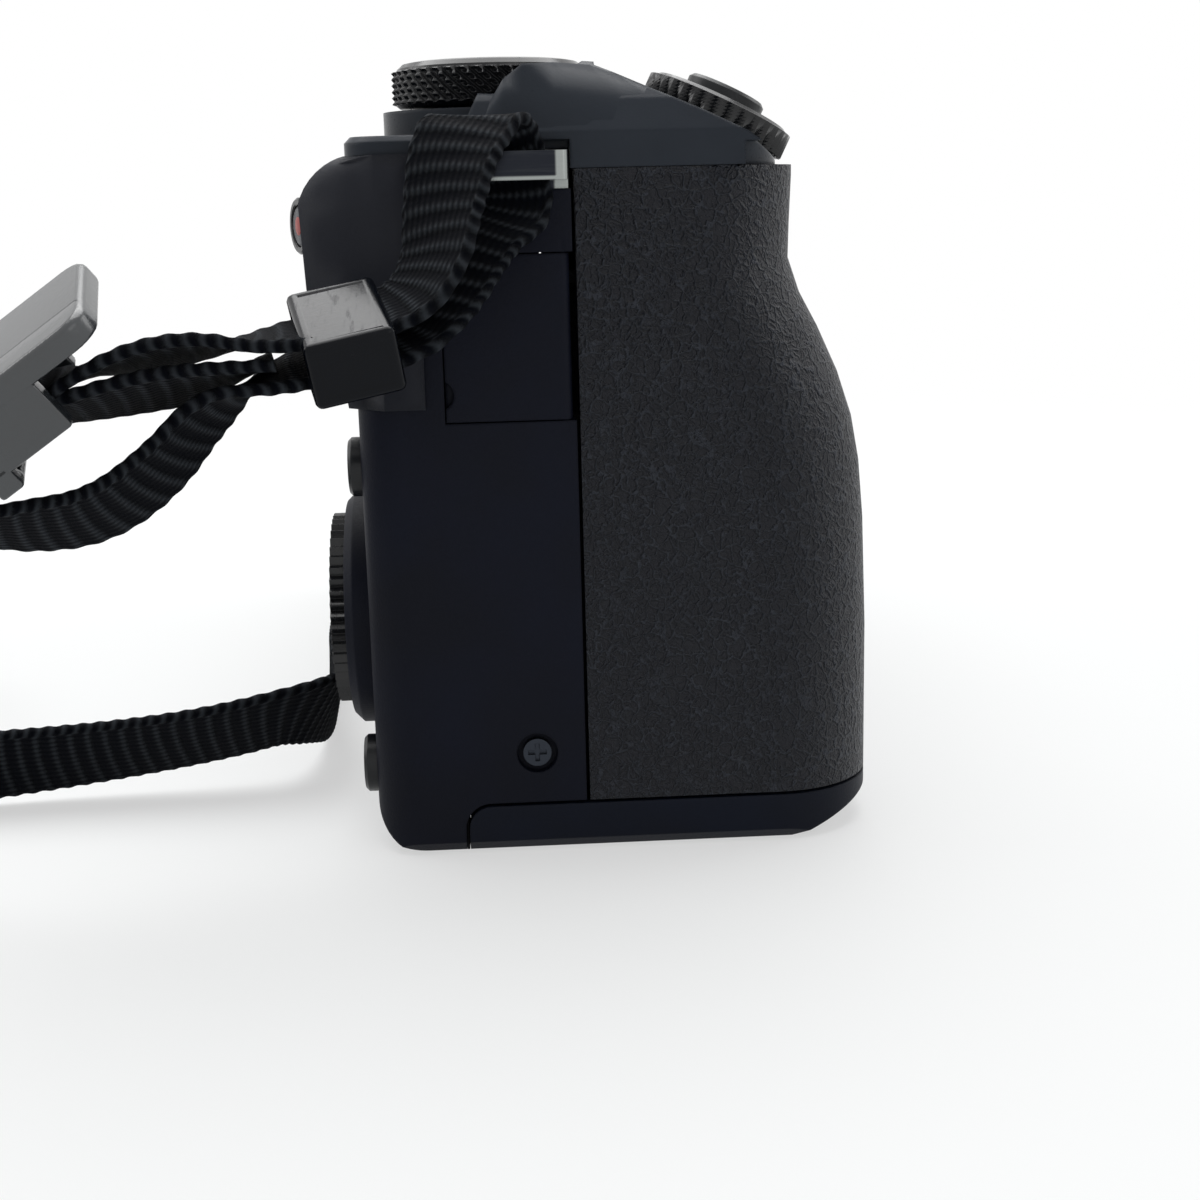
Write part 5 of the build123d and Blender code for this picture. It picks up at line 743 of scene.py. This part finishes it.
def makeKeeper(name, side, k):
    # square sleeve round both plies, its long faces sunk inside a rim
    bm = bmesh.new()
    bmesh.ops.create_cube(bm, size=1.0)
    bmesh.ops.scale(bm, vec=(k["width"], k["height"], k["length"]), verts=bm.verts)
    ends = [f for f in bm.faces if abs(f.normal.z) > 0.9]
    bmesh.ops.inset_individual(bm, faces=ends, thickness=k["wall"])
    loops = [e for f in ends for e in f.edges]
    bmesh.ops.delete(bm, geom=ends, context="FACES_ONLY")
    bmesh.ops.bridge_loops(bm, edges=loops)
    outer = [e for e in bm.edges if all(abs(v.co.x) > k["width"] / 2 - 0.01 for v in e.verts)
             and all(abs(v.co.y) > k["height"] / 2 - 0.01 for v in e.verts)]
    soften(bm, outer, k["corner"], 4)
    bm.normal_update()
    sides = [f for f in bm.faces if abs(f.normal.z) < 0.1 and f.calc_area() > 0.5 * k["height"] * k["length"]
             and f.calc_center_median().dot(f.normal) > k["height"] / 2 - 0.05]
    bmesh.ops.inset_individual(bm, faces=sides, thickness=k["rim"])
    bmesh.ops.inset_individual(bm, faces=sides, thickness=k["lip"], depth=-k["sink"])
    bmesh.ops.recalc_face_normals(bm, faces=bm.faces)
    rims = [e for e in bm.edges if len(e.link_faces) == 2 and e.calc_face_angle(0) > k["sharp"]]
    soften(bm, rims, k["edge"], 2)
    toMetres(bm)
    bmesh.ops.transform(bm, matrix=strapFrame(*k[side]), verts=bm.verts)
    piece = finishPiece(name, bm, "keeper")
    flatten(piece)
    return piece


def makeBuckle(name, side, b):
    # smooth plate with a lengthwise groove over two legs that a bar joins
    halfWide, halfLong, halfThick = b["width"] / 2, b["length"] / 2, b["plate"] / 2
    bm = bmesh.new()
    bmesh.ops.create_cube(bm, size=1.0)
    bmesh.ops.scale(bm, vec=(b["width"], b["plate"], b["length"]), verts=bm.verts)
    corners = [e for e in bm.edges if abs((e.verts[0].co - e.verts[1].co).y) > 0.5 * b["plate"]]
    soften(bm, corners, b["corner"], 5)
    bm.normal_update()
    top = next(f for f in bm.faces if f.normal.y < -0.9)
    soften(bm, list(top.edges), b["rim"], 3)
    bm.normal_update()
    base = next(f for f in bm.faces if f.normal.y > 0.9)
    soften(bm, list(base.edges), b["edge"], 2)
    for shift in (-b["grooveHalf"], 0.0, b["grooveHalf"]):
        bmesh.ops.bisect_plane(
            bm, geom=bm.verts[:] + bm.edges[:] + bm.faces[:], plane_co=(b["crease"] + shift, 0, 0),
            plane_no=(1, 0, 0), dist=1e-5,
        )
    groove = [v for v in bm.verts if abs(v.co.x - b["crease"]) < 0.01 and v.co.y < -halfThick + 0.01]
    bmesh.ops.translate(bm, vec=(0, b["groove"], 0), verts=groove)
    legThick, legDeep, legLong = b["leg"]
    barLow, barHigh, barLong = b["bar"]
    endFace, barHalf, edge = halfLong - b["inset"], halfWide - b["barInset"], b["edge"]
    for way in (-1, 1):
        inner, outer = sorted((way * (halfWide - legThick), way * (halfWide - b["inset"])))
        addBlock(bm, (inner, b["legTop"], halfLong - legLong), (outer, legDeep, endFace), edge)
        addBlock(bm, (inner, legDeep - b["joint"], halfLong - barLong), (outer, barHigh, endFace), edge)
    addBlock(bm, (-barHalf, barLow, halfLong - barLong), (barHalf, barHigh, endFace), edge)
    toMetres(bm)
    bmesh.ops.transform(bm, matrix=strapFrame(*b[side]), verts=bm.verts)
    piece = finishPiece(name, bm, "buckle")
    flatten(piece)
    return piece


def mount(piece, body, slot=None, *replaced):
    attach(piece, body)
    if replaced:
        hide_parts(*replaced)


print("strap data ready")
gripWebbing, gripLine, gripLength = makeRibbon("gripWebbing", gripRoute, webbing)
farWebbing, farLine, farLength = makeRibbon("farWebbing", farRoute, webbing)
coarser = {**webbing, "step": webbing["coilStep"]}
coilWebbing, coilLine, coilLength = makeRibbon("coilWebbing", coilStops(coilShape), coarser)
print("webbing lengths:", round(gripLength, 4), round(farLength, 4), round(coilLength, 4))
keepers = [makeKeeper("gripKeeper", "grip", keeper), makeKeeper("farKeeper", "far", keeper)]
buckles = [makeBuckle("gripBuckle", "grip", buckle), makeBuckle("farBuckle", "far", buckle)]
for piece in keepers:
    mount(piece, "camera_body", "keeper_plastic", "strap_keepers")
for piece in buckles:
    mount(piece, "camera_body", "buckle_plastic", "strap_buckles")
mount(gripWebbing, "camera_body", "webbing", "strap_grip_webbing")
mount(farWebbing, "camera_body", "webbing", "strap_far_webbing")
mount(coilWebbing, "camera_body", "webbing", "strap_coil")
cordPath(gripLine)
cordPath(farLine[::-1])
cordPath(coilLine)
print("strap laid")

# profiles of radius and height in millimetres: from the axis below to the axis above, or round a ring
exposureDial = {
    "place": (-52.5, 7.2, 0), "lean": 0,
    "profile": [
        (0.0, 64.32), (7.9, 64.32), (8.25, 64.6), (8.35, 64.72), (8.35, 64.98), (8.35, 65.24),
        (8.35, 65.5), (8.35, 65.76), (8.35, 66.02), (8.35, 66.28), (8.35, 66.54), (8.35, 66.8),
        (8.35, 67.06), (8.35, 67.32),
        (8.1, 67.42), (8.05, 67.6), (7.6, 67.98), (7.1, 68.08), (0.0, 68.08),
    ],
    "knurl": (64.7, 67.34), "pitch": 1.04, "cells": 42, "depth": 0.26, "steps": 168,
}
modeDial = {
    "place": (-27.0, 4.0, 0), "lean": 0,
    "profile": [
        (0.0, 64.85), (8.9, 64.85), (9.1, 65.0), (9.15, 65.1), (9.15, 65.36), (9.15, 65.62), (9.15, 65.88),
        (9.15, 66.14), (9.15, 66.4), (9.15, 66.66), (9.15, 66.92), (8.9, 67.1), (8.85, 67.4), (8.45, 67.75),
        (7.9, 67.88), (0.0, 67.88),
    ],
    "knurl": (65.05, 66.95), "pitch": 1.04, "cells": 46, "depth": 0.22, "steps": 184,
}
mainDial = {
    "place": (-49.0, -13.54, 64.54), "lean": 25.7,
    "profile": [
        (4.7, -2.6), (6.2, -2.6), (6.5, -2.5), (6.58, -2.4), (6.58, -2.1), (6.58, -1.8), (6.58, -1.5),
        (6.58, -1.2), (6.58, -0.9), (6.58, -0.6), (6.58, -0.35), (6.45, -0.25), (6.15, -0.02), (5.9, 0.0),
        (5.0, 0.0), (4.75, -0.2), (4.7, -0.4), (4.7, -2.6),
    ],
    "knurl": (-2.45, -0.3), "pitch": 0, "cells": 34, "depth": 0.32, "steps": 136,
}


def turnProfile(profile, steps):
    # a new mesh: the profile turned once round the upright axis
    bm = bmesh.new()
    line = [bm.verts.new((radius, 0, height)) for radius, height in profile]
    edges = [bm.edges.new(pair) for pair in zip(line, line[1:])]
    bmesh.ops.spin(
        bm, geom=line + edges, cent=(0, 0, 0), axis=(0, 0, 1), angle=2 * pi, steps=steps, use_merge=True,
    )
    bmesh.ops.remove_doubles(bm, verts=bm.verts, dist=1e-4)
    return bm


def makeKnurledDial(name, d, finish):
    # turned dial, its rim cut into rows of small pyramids, or without a pitch into long notches
    bm = turnProfile(d["profile"], d["steps"])
    low, high = d["knurl"]
    for v in bm.verts:
        radius = v.co.xy.length
        if low < v.co.z < high and radius > 1:
            around = v.co.xy.angle_signed(Vector((1, 0))) / (2 * pi) * d["cells"]
            if d["pitch"]:
                up = (v.co.z - low) / d["pitch"]
                peak = min(1 - abs(((around + way * up) % 1) * 2 - 1) for way in (-1, 1))
            else:
                peak = 1 - (high - v.co.z) / (high - low) * abs((around % 1) * 2 - 1)
            v.co.xy *= (radius + d["depth"] * (2 * peak - 1)) / radius
    upright = Matrix.Translation(d["place"]) @ Matrix.Rotation(radians(d["lean"]), 4, "X")
    bmesh.ops.transform(bm, matrix=upright, verts=bm.verts)
    toMetres(bm)
    piece = finishPiece(name, bm, finish, smooth=False)
    for face in piece.data.polygons:
        face.use_smooth = abs(face.normal.z) > 0.999
    return piece


recordButton = {
    "place": (-58.4, 24.0, 54.7),
    "turn": 23.0,
    "rim": [(1.75, -0.5), (1.75, -0.12), (1.85, -0.02), (2.2, -0.02), (2.38, -0.2), (2.38, -1.5)],
    "disc": [(0.0, -0.08), (1.45, -0.08), (1.7, -0.22), (1.76, -0.6)],
    "dot": [(0.0, 0.0), (0.55, 0.0), (0.78, -0.06), (0.8, -0.14)],
    "steps": 48,
}


def makeTurnedFace(name, face, finish, b):
    # one face of the record button, turned about the button's own axis
    bm = turnProfile(b[face], b["steps"])
    bmesh.ops.holes_fill(bm, edges=[e for e in bm.edges if e.is_boundary], sides=0)
    turn = radians(b["turn"])
    out = Vector((-sin(turn), cos(turn), 0))
    bmesh.ops.transform(bm, matrix=out.to_track_quat("Z", "Y").to_matrix().to_4x4(), verts=bm.verts)
    bmesh.ops.translate(bm, vec=b["place"], verts=bm.verts)
    toMetres(bm)
    piece = finishPiece(name, bm, finish)
    piece.data.set_sharp_from_angle(angle=radians(40))
    return piece


mount(makeKnurledDial("exposureKnurl", exposureDial, "dial"), "exposure_dial", "dial_black", "exposure_dial")
mount(makeKnurledDial("modeKnurl", modeDial, "dial"), "mode_dial", "dial_black", "mode_dial")
mount(makeKnurledDial("mainKnurl", mainDial, "dial"), "main_dial", "dial_black", "main_dial")
recordRim = makeTurnedFace("recordRim", "rim", "dial", recordButton)
mount(recordRim, "movie_button", "button_black", "movie_button")
recordDisc = makeTurnedFace("recordDisc", "disc", "disc", recordButton)
mount(recordDisc, "movie_button", "button_black", "movie_button")
mount(makeTurnedFace("recordDot", "dot", "recordRed", recordButton), "movie_button")

doorSeal = {"low": (-63.9, 11.45, 0.12), "high": (-58.0, 11.68, 4.15), "edge": 0.06}


def makeSeal(name, s):
    # soft lip along the back seam of the battery door
    bm = bmesh.new()
    addBlock(bm, s["low"], s["high"], s["edge"])
    toMetres(bm)
    return finishPiece(name, bm, "inner")


mount(makeSeal("doorSeal", doorSeal), "camera_body", "inner_black")

# in millimetres: where the rounding starts, its lowest and highest place, and the cuts that let it bend
restPad = {
    "back": 18.6,
    "round": (56.3, 60.4),
    "cuts": (57.0, 57.8, 58.5, 59.1, 59.6, 59.95, 60.15, 60.27),
}


def makeRestPad(name, source, r):
    # the thumb rest's own mesh, its top shoulder rounded off towards the back
    bm = bmesh.new()
    bm.from_mesh(source.data)
    bmesh.ops.transform(bm, matrix=source.matrix_world, verts=bm.verts)
    bmesh.ops.remove_doubles(bm, verts=bm.verts, dist=1e-6)
    for height in r["cuts"]:
        whole = bm.verts[:] + bm.edges[:] + bm.faces[:]
        bmesh.ops.bisect_plane(bm, geom=whole, plane_co=(0, 0, height / 1000), plane_no=(0, 0, 1), dist=1e-6)
    low, high, back = (value / 1000 for value in (*r["round"], r["back"]))
    for v in bm.verts:
        if v.co.y > back and v.co.z > low:
            v.co.y = back + (v.co.y - back) * (1 - ((v.co.z - low) / (high - low)) ** 2) ** 0.5
    piece = finishPiece(name, bm, "pad")
    piece.data.set_sharp_from_angle(angle=radians(35))
    return piece


mount(makeRestPad("restPad", nodes["thumb_rest_pad"], restPad), "camera_body", "pad_rubber", "thumb_rest_pad")

# cross-sections from front to back: where along the camera, then outer edge, shoulder, crest and inner face
dialWall = {
    "foot": 61.7,
    "sections": [
        (-9.0, (-64.45, 61.75), (-63.6, 63.1), (-63.2, 63.6), -62.9),
        (-6.0, (-64.45, 61.75), (-63.0, 64.2), (-62.2, 65.05), -61.6),
        (-3.5, (-64.45, 61.75), (-62.95, 64.3), (-61.35, 66.25), -60.9),
        (-1.0, (-64.45, 61.75), (-63.0, 64.5), (-61.0, 67.2), -60.2),
        (2.0, (-64.45, 61.75), (-63.1, 64.7), (-61.3, 67.45), -60.6),
        (4.6, (-64.45, 61.75), (-63.2, 64.8), (-61.9, 67.35), -61.3),
        (6.2, (-64.45, 61.75), (-63.3, 64.6), (-62.5, 66.1), -61.45),
        (7.3, (-64.45, 61.75), (-63.6, 63.6), (-62.9, 64.4), -61.5),
        (8.6, (-64.45, 61.75), (-64.0, 62.3), (-63.4, 62.7), -61.6),
        (9.5, (-64.4, 61.72), (-64.2, 61.8), (-63.6, 61.9), -61.8),
    ],
}


def makeDialWall(name, d):
    # wall that rises beside the exposure dial and runs into the top cover's slope
    bm = bmesh.new()
    loops = []
    for along, edge, shoulder, crest, inner in d["sections"]:
        outline = [(edge[0], d["foot"]), edge, shoulder, crest, (inner, crest[1]), (inner, d["foot"])]
        ring = [bm.verts.new((x, along, z)) for x, z in outline]
        loops.append([bm.edges.new(pair) for pair in zip(ring, ring[1:] + ring[:1])])
    for near, far in zip(loops, loops[1:]):
        bmesh.ops.bridge_loops(bm, edges=near + far)
    bmesh.ops.holes_fill(bm, edges=loops[0] + loops[-1], sides=0)
    toMetres(bm)
    piece = finishPiece(name, bm, "top")
    piece.data.set_sharp_from_angle(angle=radians(60))
    return piece


mount(makeDialWall("dialWall", dialWall), "camera_body", "top_plastic")
print("dials, record button, seal, thumb pad and dial wall made")

stage = {
    "floor": (0.8, 0.82, 0.82),
    "reach": 6.0,
    "centre": (-0.02, 0.02),
    "glow": 0.55,
    "fade": (0.1, 0.33),
    "world": 0.32,
    "lamps": [
        # where, what it looks at, size, power
        ((0.3, 0.03, 0.87), (-0.02, 0, 0.05), 1.1, 9.5),
        ((-0.75, -0.45, 0.35), (-0.02, 0, 0.03), 0.6, 0.6),
        ((0.3, -0.8, 0.45), (0, 0, 0.03), 0.5, 1.3),
        ((0.2, 0.8, 0.45), (0, 0, 0.03), 0.5, 1.2),
    ],
}


def makeFloor(s):
    mesh = bpy.data.meshes.new("floor")
    bm = bmesh.new()
    bmesh.ops.create_grid(bm, x_segments=8, y_segments=8, size=s["reach"])
    bm.to_mesh(mesh)
    bm.free()
    floor = bpy.data.objects.new("floor", mesh)
    bpy.context.scene.collection.objects.link(floor)
    paint = Paint("floorPaint", {"colour": s["floor"], "roughness": 0.6, "edge": 0.0001})
    x, y = paint.axes(paint.place((1, 1, 1)))[:2]
    aside, behind = x - s["centre"][0], y - s["centre"][1]
    away = (aside * aside + behind * behind) ** 0.5
    factor = paint.backdropRays() * paint.band(away, s["fade"][0], s["fade"][1], s["glow"], 1.0)
    glow = paint.node("ShaderNodeEmission", inputs={"Color": (1, 1, 1, 1), "Strength": 1.0})
    painted = Signal(paint, paint.shader.outputs[0])
    both = paint.node("ShaderNodeMixShader", inputs={0: factor, 1: painted, 2: glow})
    paint.feed(paint.tree.nodes["Material Output"].inputs[0], both)
    floor.data.materials.append(paint.material)


def makeWorld(s):
    world = bpy.data.worlds.new("studio")
    bpy.context.scene.world = world
    world.use_nodes = True
    wiring = Wiring(world.node_tree)
    sky = world.node_tree.nodes["Background"]
    wiring.feed(sky.inputs["Color"], (1, 1, 1, 1))
    wiring.feed(sky.inputs["Strength"], wiring.band(wiring.backdropRays(), 0.0, 1.0, s["world"], 1.0))


def hangLamps(s):
    for i, (where, target, size, power) in enumerate(s["lamps"]):
        light = bpy.data.lights.new(f"lamp{i}", "AREA")
        light.shape = "DISK"
        light.size = size
        light.energy = power
        lamp = bpy.data.objects.new(f"lamp{i}", light)
        lamp.location = where
        lamp.rotation_mode = "QUATERNION"
        lamp.rotation_quaternion = (Vector(target) - Vector(where)).to_track_quat("-Z", "Y")
        bpy.context.scene.collection.objects.link(lamp)


makeFloor(stage)
makeWorld(stage)
hangLamps(stage)
print("stage set")
